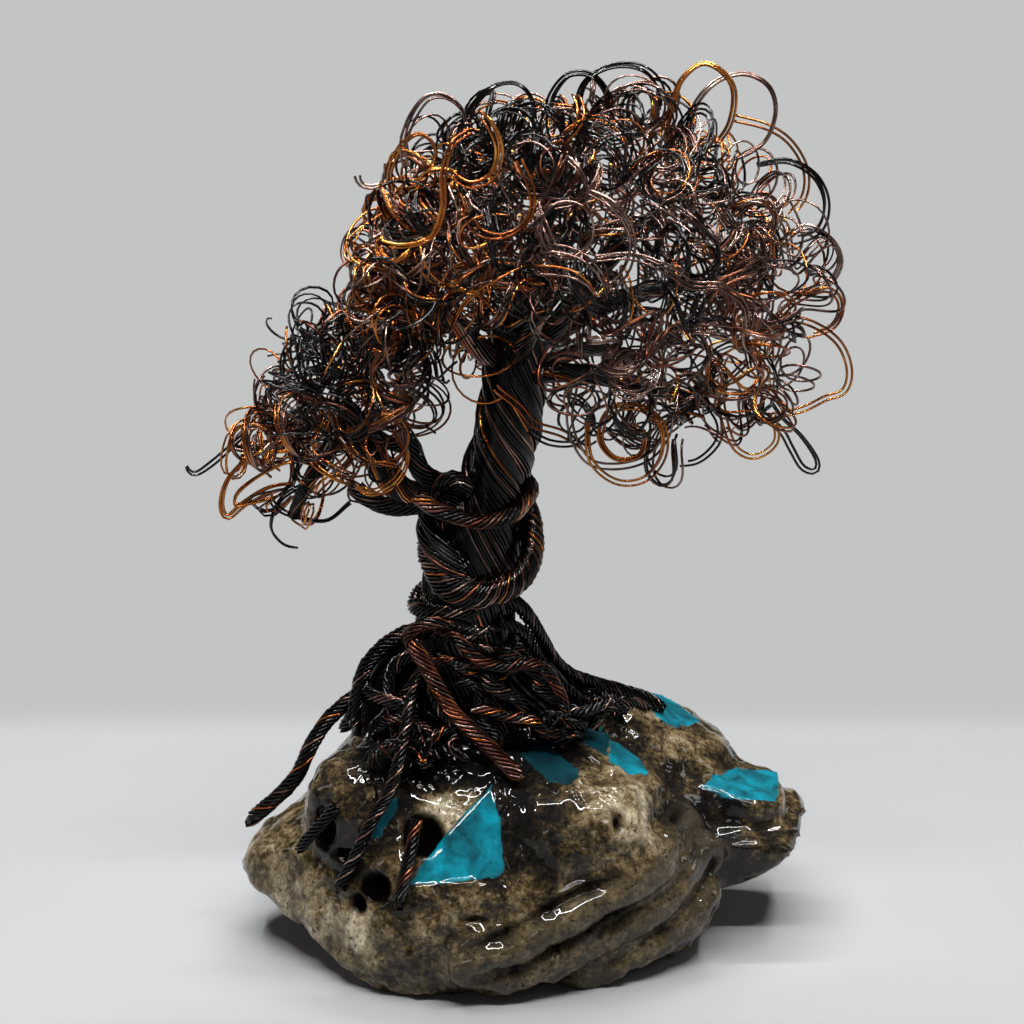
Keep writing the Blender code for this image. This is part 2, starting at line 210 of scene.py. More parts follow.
# %% [markdown]
# ## The stone's form
#
# The stone is a natural lump, so no primitive fits it. It could be sculpted by hand, but then a
# script can't repeat it. Instead its form is a distance field: a few rounded lobes that melt into
# each other, planes where pieces broke off, and long ridges along the front. The same lobes make
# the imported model's stone. Here hollows are added, which the plain solid doesn't need.

# %% Lobes, broken faces, ridges and hollows
STONE_HEART = (0.0, 2.0, 27.0)
# Each lobe: centre, half sizes, squareness, spin about Z and tilt about Y in degrees.
LOBES = {
    "body": ((-4, 8, 26), (54, 42, 31), 2.4, 0, 0),
    "crest": ((-10, 8, 46), (36, 28, 18), 2.2, 0, 0),
    "right crest": ((22, 20, 49), (20, 18, 13), 2.3, 0, -10),
    "left wedge": ((-48, -4, 20.5), (26.8, 23, 17), 2.2, 0, 6),
    "toe": ((-28, -27, 11), (26, 16, 14), 2.4, -16, 0),
    "knob": ((-40, -14, 42), (15, 14, 16), 2.4, 0, 10),
    "front": ((-10, -24, 20), (36, 20, 21), 2.4, 0, 0),
    "cheek": ((16, -14, 36), (25, 23, 19), 2.8, 0, -4),
    "shoulder": ((34, 27, 43), (31, 22, 13.2), 2.6, 0, -18),
}
REAR_LOBE = ((65.5, 10, 25), (21.5, 20, 13), 2.6, 0, 6)
REAR_SLAB = ((60, 14, 33.8), (16.5, 15, 6), 3.6, 0, -4)
RIDGE_BED = ((26, -12, 15), (32, 20, 16), 2.4, 22, -8)
CLEFT = ((48, -12, 40), (4, 16, 22), 2.2, -30, 26)
# Ridges along the front: radius, then the points that each passes through.
RIDGES = (
    (6.6, ((-16, -38.5, 8), (-2.4, -38, 11.5), (14.5, -35, 18.5), (21, -31.5, 24), (31, -27.5, 29),
           (40, -20, 32))),
    (4.8, ((12, -37, 10.5), (27, -31, 15.5), (38, -24.5, 20), (46, -17, 22), (50, -12, 26))),
    (4.5, ((-8, -35, 4.5), (20, -31, 6), (31, -26.5, 7), (43, -20, 11))),
)
# Grooves along the front, from the top one down: points on the surface. The rock between two of
# them stands out as a ridge.
GROOVES = (
    ((-13, -45, 16), (-2, -44, 21), (12, -41, 28), (28, -36, 34), (38, -27, 38), (45, -7, 38)),
    ((-11, -45, 9), (1, -44, 11), (15, -42, 17), (28, -36, 23), (40, -27, 27), (50, -7, 29)),
    ((-2, -39, 3), (12, -37, 4), (25, -33, 8), (38, -29, 14), (48, -22, 21), (54, -15, 27)),
    ((22, -30, -2), (33, -30, 2), (44, -23, 5), (53, -19, 14)),
)
RIDGE_RISE = 4.2            # how far the ridges stand out between the grooves
# Hollows between the roots and in the front: centre and half sizes.
HOLLOWS = (
    ((-23.5, -31, 42.5), (6.2, 8, 6)),
    ((-36.5, -36.5, 30), (6.0, 6, 5.0)),
    ((-41.5, -36, 24.5), (3.2, 4.5, 4)),
    ((-50, -24.5, 41), (4.0, 6, 7)),
    ((-25, -15, 56), (7, 5, 4)),
    ((-45, -29, 35), (6, 5, 2.4)),
    ((27.7, -34.5, 48), (2.2, 4, 4.5)),
    ((-10, -43.5, 24), (5, 3, 1.4)),
)


def smooth_min(a, b, width):
    """The smaller of two distances, with the crease between them rounded over a width."""
    share = np.clip(0.5 + 0.5 * (b - a) / width, 0.0, 1.0)
    return b * (1 - share) + a * share - width * share * (1 - share)


def smooth_max(a, b, width):
    """The larger of two distances, rounded in the same way."""
    return -smooth_min(-a, -b, width)


def lobe(points, centre, size, power=2.0, spin=0, tilt=0):
    """Rough distance to a superellipsoid, spun about Z and then tilted about Y."""
    turn, lean = np.radians((spin, tilt))
    x, y, z = (points - np.array(centre)).T
    x, y = x * np.cos(turn) + y * np.sin(turn), y * np.cos(turn) - x * np.sin(turn)
    x, z = x * np.cos(lean) + z * np.sin(lean), z * np.cos(lean) - x * np.sin(lean)
    scaled = np.abs(np.stack((x, y, z), axis=1) / np.array(size)) ** power
    return (scaled.sum(axis=1) ** (1 / power) - 1) * min(size)


def ridge(points, left, right, left_radius, right_radius):
    """Distance to a tapered bar with round ends."""
    start = np.array(left, float)
    span = np.array(right, float) - start
    along = np.clip((points - start) @ span / (span @ span), 0, 1)
    radius = left_radius + (right_radius - left_radius) * along
    return np.linalg.norm(points - start - along[:, None] * span, axis=1) - radius


def beyond(points, place, normal):
    """Distance past a plane, positive on the side that its normal points to."""
    unit = np.array(normal, float) / np.linalg.norm(normal)
    return (points - np.array(place)) @ unit


def along_path(points, path, radius):
    """Distance to a round bar that follows a line of points."""
    return np.min([ridge(points, start, end, radius, radius)
                   for start, end in zip(path, path[1:])], axis=0)


def hollow_depth(points):
    """How far a point is inside the nearest hollow; negative outside."""
    return -np.min([lobe(points, *shape) for shape in HOLLOWS], axis=0)


def ridge_rise(points):
    """How far the ridges stand out: most half way between two grooves, nothing in them."""
    away = np.array([along_path(points, path, 0.0) for path in GROOVES])
    span = away[:-1] + away[1:]
    pair = np.argmin(span, axis=0)
    span = span.min(axis=0)
    share = np.take_along_axis(away, pair[None], axis=0)[0] / span
    near = np.clip((17 - span) / 4, 0, 1)
    near = near * near * (3 - 2 * near)
    return near * RIDGE_RISE * smooth_min(2.1 * share, 1.9 * (1 - share), 0.45)


def stone(points):
    """Rough distance from each point to the stone, negative inside it."""
    distance = None
    for name, form in LOBES.items():
        part = lobe(points, *form)
        if name == "cheek":
            part = smooth_max(part, beyond(points, (37, -26, 42), (0.84, -0.30, 0.42)), 1.5)
        distance = part if distance is None else smooth_min(distance, part, 5.0)
    # Broken faces under the left end and the back.
    distance = smooth_max(distance, beyond(points, (-51.5, -21.6, 6.2), (-0.60, -0.28, -0.74)), 2)
    distance = smooth_max(distance, beyond(points, (-46, -33, 16), (-0.62, -0.76, 0.12)), 2)
    distance = smooth_max(distance, beyond(points, (0, 52, 20), (0, 0.8, -0.6)), 6)
    # The rear lobe: flat on top with a slab on it, broken off slanting below.
    rear = smooth_max(lobe(points, *REAR_LOBE), beyond(points, (70, 10, 31), (0.05, -0.08, 1)), 1.2)
    rear = smooth_min(rear, lobe(points, *REAR_SLAB), 1.0)
    rear = smooth_max(rear, beyond(points, (76, 0, 24), (0.66, -0.08, -0.75)), 1.5)
    distance = smooth_min(distance, rear, 3.0)
    distance = smooth_max(distance, -lobe(points, *CLEFT), 3.0)
    # The ridges, in one bed along the front.
    front = lobe(points, *RIDGE_BED)
    for radius, path in RIDGES:
        front = smooth_min(front, along_path(points, path, radius), 1.0)
    front = smooth_max(front, beyond(points, (57, -20, 18), (0.84, -0.2, -0.50)), 2)
    distance = smooth_min(distance, front, 2.0)
    # The flat underside.
    return np.maximum(distance - ridge_rise(points), -points[:, 2])


def slope(field, points, step=0.2):
    """Outward direction of a distance field."""
    rise = [field(points + offset) - field(points - offset) for offset in np.eye(3) * step]
    rise = np.stack(rise, axis=1)
    return rise / np.linalg.norm(rise, axis=1)[:, None]


print("stone of", len(LOBES) + 2, "lobes,", len(RIDGES), "ridges,", len(HOLLOWS), "hollows")

# %% [markdown]
# ## Wrapping a mesh onto the form
#
# A cube divided into an even grid is wrapped onto the form: each corner of the grid slides in
# along a ray towards the stone's heart until it meets the surface. A UV sphere would do the same
# but crowd its faces at the poles. Then the surface is roughened with fractal noise in three sizes,
# lumps, crust and grit, which move the points in or out along the surface's own direction.

# %% The stone's mesh
STONE_GRID = 112            # faces along each edge of the cube: about 0.8 mm each on the stone
LUMPS = (7.0, 0.9)          # size and height of each roughness, in millimetres
CRUST = (2.4, 0.12)
PITS = (3.0, 0.5)
CRACKS = (14.0, 0.45)


def fractal(points, size, octaves=4, seed=0.0):
    """Fractal noise, about -1 to 1, whose largest features have a given size."""
    return np.array([noise.fractal(Vector(point) / size + Vector((seed, seed, seed)),
                                   0.9, 2.1, octaves) for point in points])


def place_vertices(mesh, points):
    """Move a bmesh's vertices to an array of points."""
    for vertex, point in zip(mesh.verts, points):
        vertex.co = point


stone_mesh = bpy.data.meshes.new("painted_stone")
shape = bmesh.new()
bmesh.ops.create_cube(shape, size=2.0)
bmesh.ops.subdivide_edges(shape, edges=shape.edges[:], cuts=STONE_GRID - 1, use_grid_fill=True)
directions = np.tan(np.array([vertex.co for vertex in shape.verts]) * np.pi / 4)
directions /= np.linalg.norm(directions, axis=1)[:, None]

heart = np.array(STONE_HEART)
reach = np.full(len(directions), 100.0)
for _ in range(45):
    reach -= np.clip(stone(heart + directions * reach[:, None]) * 0.62, -2.0, 8.0)
place_vertices(shape, heart + directions * reach[:, None])
# Faces that the rays stretched are evened out: slide the points about, then put them back on.
for _ in range(3):
    for _ in range(8):
        bmesh.ops.smooth_vert(shape, verts=shape.verts[:], factor=0.5, use_axis_x=True,
                              use_axis_y=True, use_axis_z=True)
    smooth_surface = np.array([vertex.co for vertex in shape.verts])
    for _ in range(2):
        outward = slope(stone, smooth_surface)
        smooth_surface -= outward * stone(smooth_surface)[:, None] * 0.9
    place_vertices(shape, smooth_surface)
print("stone grid", len(directions), "points, worst miss",
      round(float(np.abs(stone(smooth_surface)).max()), 2), "mm")

# %% Roughen the surface
lumps = fractal(smooth_surface, LUMPS[0], 2, 3.1)
crust = fractal(smooth_surface, CRUST[0], 3, 7.7)
pits = np.clip(fractal(smooth_surface, PITS[0], 2, 12.3) - 0.25, 0, 1)
hollows = np.clip(hollow_depth(smooth_surface), 0, 4)
cracks = np.array([np.diff(noise.voronoi(Vector(point) / CRACKS[0] + 0.35 * noise.noise_vector(
    Vector(point) / 5.0))[0][:2])[0] for point in smooth_surface])
cracks = np.clip(1 - cracks / 0.10, 0, 1)
# Painted shade along the grooves: how near each point lies to one.
groove_shade = np.min([along_path(smooth_surface, path, 0.0) for path in GROOVES], axis=0)
groove_shade = np.clip(1.3 - groove_shade / 2.2, 0, 1)
smooth_side = np.clip(fractal(smooth_surface, 22.0, 1, 21.0) + 0.6, 0.25, 1)
# Resin has pooled over the ridges, so they are smoother than the rest.
pooled = np.clip(1.6 * ridge_rise(smooth_surface) / RIDGE_RISE, 0, 1)
calm = 1 - 0.6 * pooled
relief = calm * (LUMPS[1] * lumps + (CRUST[1] * crust - PITS[1] * pits) * smooth_side
                 - CRACKS[1] * cracks * smooth_side) - 1.4 * hollows
# The broken edge near the ground is the most ragged.
edge = np.clip((16 - smooth_surface[:, 2]) / 12, 0, 1) * (smooth_surface[:, 2] > 0.3)
relief += edge * 0.9 * fractal(smooth_surface, 4.5, 3, 31.0)
rough_surface = smooth_surface + outward * relief[:, None]
rough_surface[:, 2] = np.where(smooth_surface[:, 2] < 0.3, 0.0, np.maximum(rough_surface[:, 2], 0.0))
print("relief from", round(float(relief.min()), 2), "to", round(float(relief.max()), 2), "mm")

# %% [markdown]
# ## Painted facets
#
# The turquoise areas are flat chips let into the rock and painted. Each one here is a flat outline
# on the stone. Points inside it drop onto its plane, which gives the crisp step that the light
# catches. How far a point is inside an outline is stored on the mesh as a number called paint. The
# material turns blue where that number passes zero, so its edge is as sharp as the render can show
# even though the mesh's points are almost a millimetre apart.

# %% Flatten the facets
# Corners of each chip, in order round it, and how much painted shade darkens its paint, 0 to 1; the
# darkest lie in the shade of the roots.
CHIPS = (
    (((-5.5, -22.5, 52.5), (-3, -31, 47), (-2, -38.5, 36), (-3, -39.5, 34.5), (-13.5, -40.5, 33.8),
      (-27, -40, 32), (-19, -31.5, 41)), 0.0),
    (((26.5, 1, 56), (29.5, 1.5, 55), (35.5, -2, 51), (37, -7.5, 50), (31.5, -14.5, 52.5),
      (26, -11, 54.5)), 0.0),
    (((21.5, 6, 60.5), (24.5, 4.5, 58.5), (27, 2, 56), (26, -8, 54.8), (19, -4, 57.5),
      (20, 2, 58.5)), 0.75),
    (((2, -13.5, 58), (5.5, -11, 58.5), (10, -9, 59), (17.5, -18.5, 55), (17.5, -22, 54.5),
      (14.5, -26, 54), (9.5, -23.5, 55)), 0.85),
    (((34.5, 26, 60.5), (38.5, 32, 58), (43, 35.5, 55.5), (49, 35, 52.5), (54.5, 29, 49.5),
      (46, 16.5, 53.5), (42, 15.5, 55.5)), 0.15),
    (((52.5, 4, 40), (56.5, 10, 42), (64.5, 18.5, 40), (76, 23.5, 35.5), (75, 12.5, 37.5),
      (73.5, 2.5, 36.5), (62.5, 0.5, 38)), 0.15),
    (((-34, -26, 50.5), (-30.5, -24.5, 50), (-30, -25.5, 47.5), (-35, -29, 40.5), (-38.5, -28.5, 40),
      (-38, -28, 44)), 0.55),
    (((11, 4.5, 61.5), (18.5, 10, 62.5), (22, 7, 61), (19.5, 1.5, 58.5), (11.5, 1, 60.5)), 0.75),
)
CHIP_DEPTH = 5.0            # how far from its plane a chip still reaches


def inside_outline(points, corners):
    """Distance from each point to a flat outline's edge, positive inside, and to its plane."""
    corners = np.array(corners, float)
    middle = corners.mean(axis=0)
    _, _, axes = np.linalg.svd(corners - middle)
    normal = axes[2] * np.sign(axes[2] @ (middle - heart))
    within = np.full(len(points), 1e3)
    for start, end in zip(corners, np.roll(corners, -1, axis=0)):
        inward = np.cross(normal, end - start)
        inward /= np.linalg.norm(inward)
        inward *= np.sign(inward @ (middle - start))
        within = np.minimum(within, (points - start) @ inward)
    return within, (points - middle) @ normal, normal


paint = np.full(len(rough_surface), -6.0)
chip_painted_shade = np.zeros(len(rough_surface))
for corners, painted_shade in CHIPS:
    within, height, normal = inside_outline(rough_surface, corners)
    near = within - np.clip(np.abs(height) - CHIP_DEPTH, 0, None) * 3
    drop = np.clip(near / 0.8 + 0.6, 0, 1)
    rough_surface -= normal * (height * drop * 0.92)[:, None]
    chip_painted_shade = np.where(near > paint, painted_shade, chip_painted_shade)
    paint = np.maximum(paint, near)
print("painted:", round(float((paint > 0).mean() * 100), 1), "% of the points")

# %% Write the stone and what its material reads
# Soft spots of pale or dark rock: centre, radius and tone, -1 dark to 1 pale. The dark spots round the
# trunk's foot under the roots, under the knob, in the cleft and under the rear lobe are painted shade.
ROCK_TONES_AND_SHADE = (
    ((-16, -26, 49), 7, 2.2), ((-22, -25, 50), 5, 1.2), ((-62, -18, 20), 17, 0.9),
    ((-44, -34, 13), 14, 0.8), ((-40, -38, 18), 7, 0.8), ((-26, -12, 58), 12, -3.0),
    ((-8, -4, 62), 20, -3.0), ((10, -8, 60), 9, -2.0), ((33, -30, 44), 9, 1.2),
    ((24, -28, 50), 7, 0.9), ((30, -16, 52), 9, 1.2), ((21, -6, 57), 5, 0.6),
    ((3, -34, 45), 10, -1.0), ((12, -36, 36), 8, -0.2), ((-14, -42, 27), 9, 0.3),
    ((-40, -30, 40), 7, -0.5), ((-44, -22, 50), 8, -0.2), ((-50, -25, 38), 8, -0.8),
    ((-45, -30, 33), 6, -0.7), ((58, -6, 30), 13, -0.9), ((48, -12, 36), 8, -2.6), ((76, 0, 27), 9, 0.1),
    ((0, -42, 14), 12, 0.1), ((24, -36, 20), 12, 0.1), ((42, -24, 24), 12, 0.2),
    ((45, 14, 53), 11, 0.5), ((44, 0, 45), 5, -1.0), ((-30, -42, 20), 8, -0.5),
)
tone = np.zeros(len(rough_surface))
for centre, size, value in ROCK_TONES_AND_SHADE:
    away = np.linalg.norm(smooth_surface - np.array(centre), axis=1) / size
    tone += value * np.exp(-away ** 2)
place_vertices(shape, rough_surface * MM)
shape.to_mesh(stone_mesh)
shape.free()
# The darkening number stored below paints shade into the hollows and along the grooves; its small share from
# the cracks is their own dark colour.
for name, values in {
        "paint": paint, "chip_painted_shade": chip_painted_shade, "tone": tone,
        "hollow": np.clip(np.maximum(hollows / 1.2, groove_shade * 0.9) + 0.25 * cracks, 0, 1),
        "relief": relief, "pooled": pooled}.items():
    layer = stone_mesh.attributes.new(name, "FLOAT", "POINT")
    layer.data.foreach_set("value", values.astype(np.float32))
stone_mesh.shade_smooth()
painted_stone = bpy.data.objects.new("painted_stone", stone_mesh)
scene.collection.objects.link(painted_stone)
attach(painted_stone, "root")
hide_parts("stone_base")
print("stone:", len(stone_mesh.polygons) * 2, "triangles")

# %% [markdown]
# ## Rock under resin
#
# The rock is a weathered limestone, mottled from cream to dark brown, with turquoise acrylic paint on
# its chips, all under a poured coat of clear epoxy. Two surfaces are seen at once: rough rock below
# and wet gloss on top. The Principled shader's coat is made for that. The rock keeps a high
# roughness and a fine bump, and the coat has its own gentle bump, as resin levels out the grit.

# %% Stone material
rock_material, tree, shader, place = new_material("limestone_under_epoxy")


def stone_layer(name):
    """One of the numbers stored on the stone's mesh, for its material."""
    return add_node(tree, "ShaderNodeAttribute", {"attribute_name": name}).outputs["Fac"]


mottle = add_node(tree, "ShaderNodeTexNoise",
                  {"Scale": 1 / (8 * MM), "Detail": 10.0, "Roughness": 0.72, "Distortion": 0.4},
                  {"Vector": place})
grit = add_node(tree, "ShaderNodeTexNoise",
                {"Scale": 1 / (1.5 * MM), "Detail": 5.0, "Roughness": 0.7}, {"Vector": place})
tone_up = add_node(tree, "ShaderNodeMath", {"operation": "MULTIPLY_ADD", 1: 0.26, 2: -0.76},
                   {0: stone_layer("tone")})
mottled = add_node(tree, "ShaderNodeMath", {"operation": "MULTIPLY_ADD", 1: 1.45},
                   {0: mottle.outputs["Fac"], 2: tone_up.outputs[0]})
gritty = add_node(tree, "ShaderNodeMath", {"operation": "MULTIPLY_ADD", 1: 0.9},
                  {0: grit.outputs["Fac"], 2: mottled.outputs[0]})
# Painted shade: the colour follows the relief, darker where it sinks into pits, cracks and hollows and paler
# on the lumps.
relief_shaded = add_node(tree, "ShaderNodeMath", {"operation": "MULTIPLY_ADD", 1: 0.08},
                  {0: stone_layer("relief"), 2: gritty.outputs[0]})
rock_colour = add_node(tree, "ShaderNodeValToRGB", {}, {"Fac": relief_shaded.outputs[0]})
set_ramp(rock_colour, ((0.14, "#050302"), (0.30, "#1c150b"), (0.44, "#43361f"), (0.57, "#6b5b3e"),
                       (0.74, "#90836a"), (0.96, "#cabc9f")))
# Clear resin pooled on the ridges, and the rock below it shows a plainer olive brown.
pooled = add_node(tree, "ShaderNodeMath", {"operation": "MULTIPLY", 1: 0.45}, {0: stone_layer("pooled")})
rock = add_node(tree, "ShaderNodeMix", {"data_type": "RGBA", 7: linear("#4f4535")},
                {0: pooled.outputs[0], 6: rock_colour.outputs["Color"]})
# Pores: small black dots where fine noise dips.
pores = add_node(tree, "ShaderNodeTexNoise", {"Scale": 1 / (1.1 * MM), "Detail": 2.0}, {"Vector": place})
pore = add_node(tree, "ShaderNodeMapRange",
                {"From Min": 0.39, "From Max": 0.33, "To Max": 0.85}, {"Value": pores.outputs["Fac"]})
# Old dirt fills the pores. The hollows and grooves are darkened as painted shade, and the cracks a little
# by their own dark colour.
pores_and_painted_shade = add_node(tree, "ShaderNodeMath", {"operation": "MAXIMUM"},
                {0: stone_layer("hollow"), 1: pore.outputs[0]})
rock_with_pores_and_shade = add_node(tree, "ShaderNodeMix", {"data_type": "RGBA", "blend_type": "MIX", 7: linear("#050302")},
                 {0: pores_and_painted_shade.outputs[0], 6: rock.outputs[2]})
# Paint: turquoise, and on the chips in the shade of the roots a deep teal that is painted shade.
brushed = add_node(tree, "ShaderNodeTexNoise",
                   {"Scale": 1 / (7 * MM), "Detail": 6.0, "Roughness": 0.6, "Distortion": 0.6},
                   {"Vector": place})
bright_paint = add_node(tree, "ShaderNodeValToRGB", {}, {"Fac": brushed.outputs["Fac"]})
set_ramp(bright_paint, ((0.34, "#003f4a"), (0.5, "#006776"), (0.66, "#00869a")))
chip_paint_and_shade = add_node(tree, "ShaderNodeMix", {"data_type": "RGBA", 7: linear("#02141b")},
                        {0: stone_layer("chip_painted_shade"), 6: bright_paint.outputs["Color"]})
torn = add_node(tree, "ShaderNodeTexNoise", {"Scale": 1 / (3.5 * MM), "Detail": 4.0}, {"Vector": place})
ragged = add_node(tree, "ShaderNodeMath", {"operation": "MULTIPLY_ADD", 1: 2.4, 2: -1.2},
                  {0: torn.outputs["Fac"]})
paint_reach = add_node(tree, "ShaderNodeMath", {"operation": "ADD"},
                       {0: stone_layer("paint"), 1: ragged.outputs[0]})
paint_edge = add_node(tree, "ShaderNodeMapRange", {"From Min": -0.15, "From Max": 0.25},
                      {"Value": paint_reach.outputs[0]})
surface = add_node(tree, "ShaderNodeMix", {"data_type": "RGBA"},
                   {0: paint_edge.outputs[0], 6: rock_with_pores_and_shade.outputs[2], 7: chip_paint_and_shade.outputs[2]})
rock_bump = add_node(tree, "ShaderNodeBump", {"Strength": 0.6, "Distance": 0.5 * MM},
                     {"Height": gritty.outputs[0]})
pool = add_node(tree, "ShaderNodeTexNoise", {"Scale": 1 / (6 * MM), "Detail": 2.0}, {"Vector": place})
resin_bump = add_node(tree, "ShaderNodeBump", {"Strength": 0.2, "Distance": 0.8 * MM},
                      {"Height": pool.outputs["Fac"]})
for name, value in {"Roughness": 0.7, "Coat Roughness": 0.03, "Coat IOR": 1.38}.items():
    shader.inputs[name].default_value = value
# The resin was poured from above, and left the hollows dry. Neither resin nor rock shines there.
wet = add_node(tree, "ShaderNodeMath", {"operation": "MULTIPLY_ADD", 1: -1.0, 2: 1.0},
               {0: stone_layer("hollow")})
rock_shine = add_node(tree, "ShaderNodeMath", {"operation": "MULTIPLY", 1: 0.1}, {0: wet.outputs[0]})
tree.links.new(wet.outputs[0], shader.inputs["Coat Weight"])
tree.links.new(rock_shine.outputs[0], shader.inputs["Specular IOR Level"])
tree.links.new(surface.outputs[2], shader.inputs["Base Color"])
tree.links.new(rock_bump.outputs[0], shader.inputs["Normal"])
tree.links.new(resin_bump.outputs[0], shader.inputs["Coat Normal"])
stone_mesh.materials.append(rock_material)

# %% [markdown]
# ## Three enamelled wires
#
# Craft wire is soft copper with a thin coloured enamel. The black one is nearly opaque and shines
# like lacquer. On the brown and the copper one the metal shows through the tint, so they
# are metals with a tinted colour. Along its length a wire shifts a little in tint, where handling
# has rubbed or stretched the enamel, and a soft noise a centimetre wide draws that.

# %% Wire materials
def wire_material(name, stops, metallic, roughness, coat, specular=0.5):
    """Enamelled copper wire: a tint that drifts along the strand, under a coat of clear enamel."""
    material, tree, shader, place = new_material(name)
    drift = add_node(tree, "ShaderNodeTexNoise",
                     {"Scale": 1 / (10 * MM), "Detail": 3.0, "Roughness": 0.55}, {"Vector": place})
    tint = add_node(tree, "ShaderNodeValToRGB", {}, {"Fac": drift.outputs["Fac"]})
    set_ramp(tint, stops)
    shader.inputs["Metallic"].default_value = metallic
    shader.inputs["Roughness"].default_value = roughness
    shader.inputs["Coat Weight"].default_value = coat
    shader.inputs["Specular IOR Level"].default_value = specular
    shader.inputs["Coat Roughness"].default_value = 0.2
    tree.links.new(tint.outputs["Color"], shader.inputs["Base Color"])
    return material


BLACK = wire_material("black_enamelled_copper",
                      ((0.3, "#020101"), (0.55, "#030201"), (0.75, "#080504")), 0.0, 0.14, 0.0, 0.32)
BROWN = wire_material("brown_enamelled_copper",
                      ((0.3, "#38211a"), (0.5, "#6e5147"), (0.7, "#b09689")), 1.0, 0.26, 0.3)
COPPER = wire_material("bright_enamelled_copper",
                       ((0.28, "#54240a"), (0.5, "#a55a1c"), (0.72, "#eba246")), 1.0, 0.26, 0.3)
RED = wire_material("dark_enamelled_copper",
                    ((0.3, "#1c0c07"), (0.5, "#552a1a"), (0.7, "#a8603d")), 1.0, 0.28, 0.4)
WIRES = (BLACK, BROWN, COPPER, RED)
SLOTS = ("black_wire", "brown_wire", "copper_wire")
print("wire materials:", [material.name for material in WIRES])

# %% [markdown]
# ## From a line of points to a wire
#
# A wire is a line with a thickness, which is just what a curve object with a round bevel is. Each
# wire is one poly spline, so it costs only as many faces as it has points. A whole rope is one
# object with many splines. It is turned into a mesh at the end, with the end caps merged to the
# sides, so that every wire is a closed bar.

# %% Helpers for lines and wires
def wire_section(sides):
    """A wire's cross-section, one millimetre in radius: the curve that a wire's line carries."""
    curve = bpy.data.curves.new("wire_section", "CURVE")
    outline = curve.splines.new("POLY")
    outline.points.add(sides - 1)
    outline.use_cyclic_u = True
    for corner, point in enumerate(outline.points):
        turn = 2 * np.pi * corner / sides
        point.co = (np.cos(turn) * MM, np.sin(turn) * MM, 0, 1)
    section = bpy.data.objects.new("wire_section", curve)
    scene.collection.objects.link(section)
    return section


ROPE_SECTION = wire_section(5)
CURL_SECTION = wire_section(4)


def through(points, spacing):
    """Evenly spaced points on a smooth curve through given ones (Catmull-Rom)."""
    knots = np.array(points, float)
    knots = np.vstack((2 * knots[0] - knots[1], knots, 2 * knots[-1] - knots[-2]))
    fine = []
    for a, b, c, d in zip(knots, knots[1:], knots[2:], knots[3:]):
        for t in np.linspace(0, 1, 16, endpoint=False):
            fine.append(0.5 * (2 * b + (c - a) * t + (2 * a - 5 * b + 4 * c - d) * t ** 2
                               + (3 * b - a - 3 * c + d) * t ** 3))
    fine = np.array(fine + [knots[-2]])
    length = np.concatenate(([0], np.cumsum(np.linalg.norm(np.diff(fine, axis=0), axis=1))))
    stations = np.linspace(0, length[-1], max(4, round(length[-1] / spacing) + 1))
    return np.stack([np.interp(stations, length, fine[:, axis]) for axis in range(3)], axis=1)


def frames(line):
    """Directions across a line, two for each point, that turn as little as they can."""
    tangents = np.gradient(line, axis=0)
    tangents /= np.linalg.norm(tangents, axis=1)[:, None]
    side = np.cross(tangents[0], (0.31, -0.52, 0.80))
    sides = []
    for tangent in tangents:
        side = side - tangent * (side @ tangent)
        side = side / np.linalg.norm(side)
        sides.append(side)
    sides = np.array(sides)
    return sides, np.cross(tangents, sides)


def add_wires(name, wires, nodes=(), section=ROPE_SECTION):
    """One piece from many wires, each (points, radius or radii, which wire material)."""
    curve = bpy.data.curves.new(name, "CURVE")
    curve.dimensions = "3D"
    curve.bevel_mode = "OBJECT"
    curve.bevel_object = section
    curve.use_fill_caps = True
    for material in WIRES:
        curve.materials.append(material)
    for points, radius, kind in wires:
        spline = curve.splines.new("POLY")
        spline.points.add(len(points) - 1)
        spline.points.foreach_set("co", np.column_stack((points * MM, np.ones(len(points)))).ravel())
        spline.points.foreach_set("radius", np.broadcast_to(radius, len(points)).astype(float))
        spline.material_index = kind
        spline.use_smooth = True
    bar = bpy.data.objects.new(name + "_line", curve)
    scene.collection.objects.link(bar)
    bpy.context.view_layer.update()
    mesh = bpy.data.meshes.new_from_object(bar.evaluated_get(bpy.context.evaluated_depsgraph_get()))
    bpy.data.objects.remove(bar)
    bpy.data.curves.remove(curve)
    mesh.name = name
    weld = bmesh.new()
    weld.from_mesh(mesh)
    bmesh.ops.remove_doubles(weld, verts=weld.verts[:], dist=0.002 * MM)
    weld.to_mesh(mesh)
    weld.free()
    mesh.shade_smooth()
    piece = bpy.data.objects.new(name, mesh)
    scene.collection.objects.link(piece)
    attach(piece, "root")
    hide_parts(*nodes)
    triangles = sum(len(face.vertices) - 2 for face in mesh.polygons)
    made_triangles.append(triangles)
    return piece


made_triangles = []

# %% [markdown]
# ## The trunk
#
# The trunk is the whole bundle of wires lying side by side round its own core. Every wire runs the
# trunk's full height and leans as it climbs, because the maker twisted the bundle. The lean changes
# with height: steep above the binding, nearly upright between the bindings. Small lumps in
# the radius gather the wires into strands, as they never lie perfectly even.

# %% Trunk wires
# Centre and radius, from the foot on the stone up into the crown.
TRUNK = (
    ((-11, 2, 65.2), 13.5), ((-12, 1, 72), 12.5), ((-12.5, 0, 80), 11.8), ((-12.5, 0, 89), 11.2),
    ((-11.5, 0, 98), 10.6), ((-9.8, 0, 109), 10.4), ((-8.8, 0, 119), 10.0), ((-5.5, 0, 129), 9.2),
    ((-2, 0, 140), 8.8), ((0, 0, 151), 8.6), ((1, 0, 162), 8.2), ((2, 1, 171), 7.4),
)
TRUNK_WIRES = 108
TRUNK_WIRE = 0.36           # radius
random = np.random.RandomState(11)

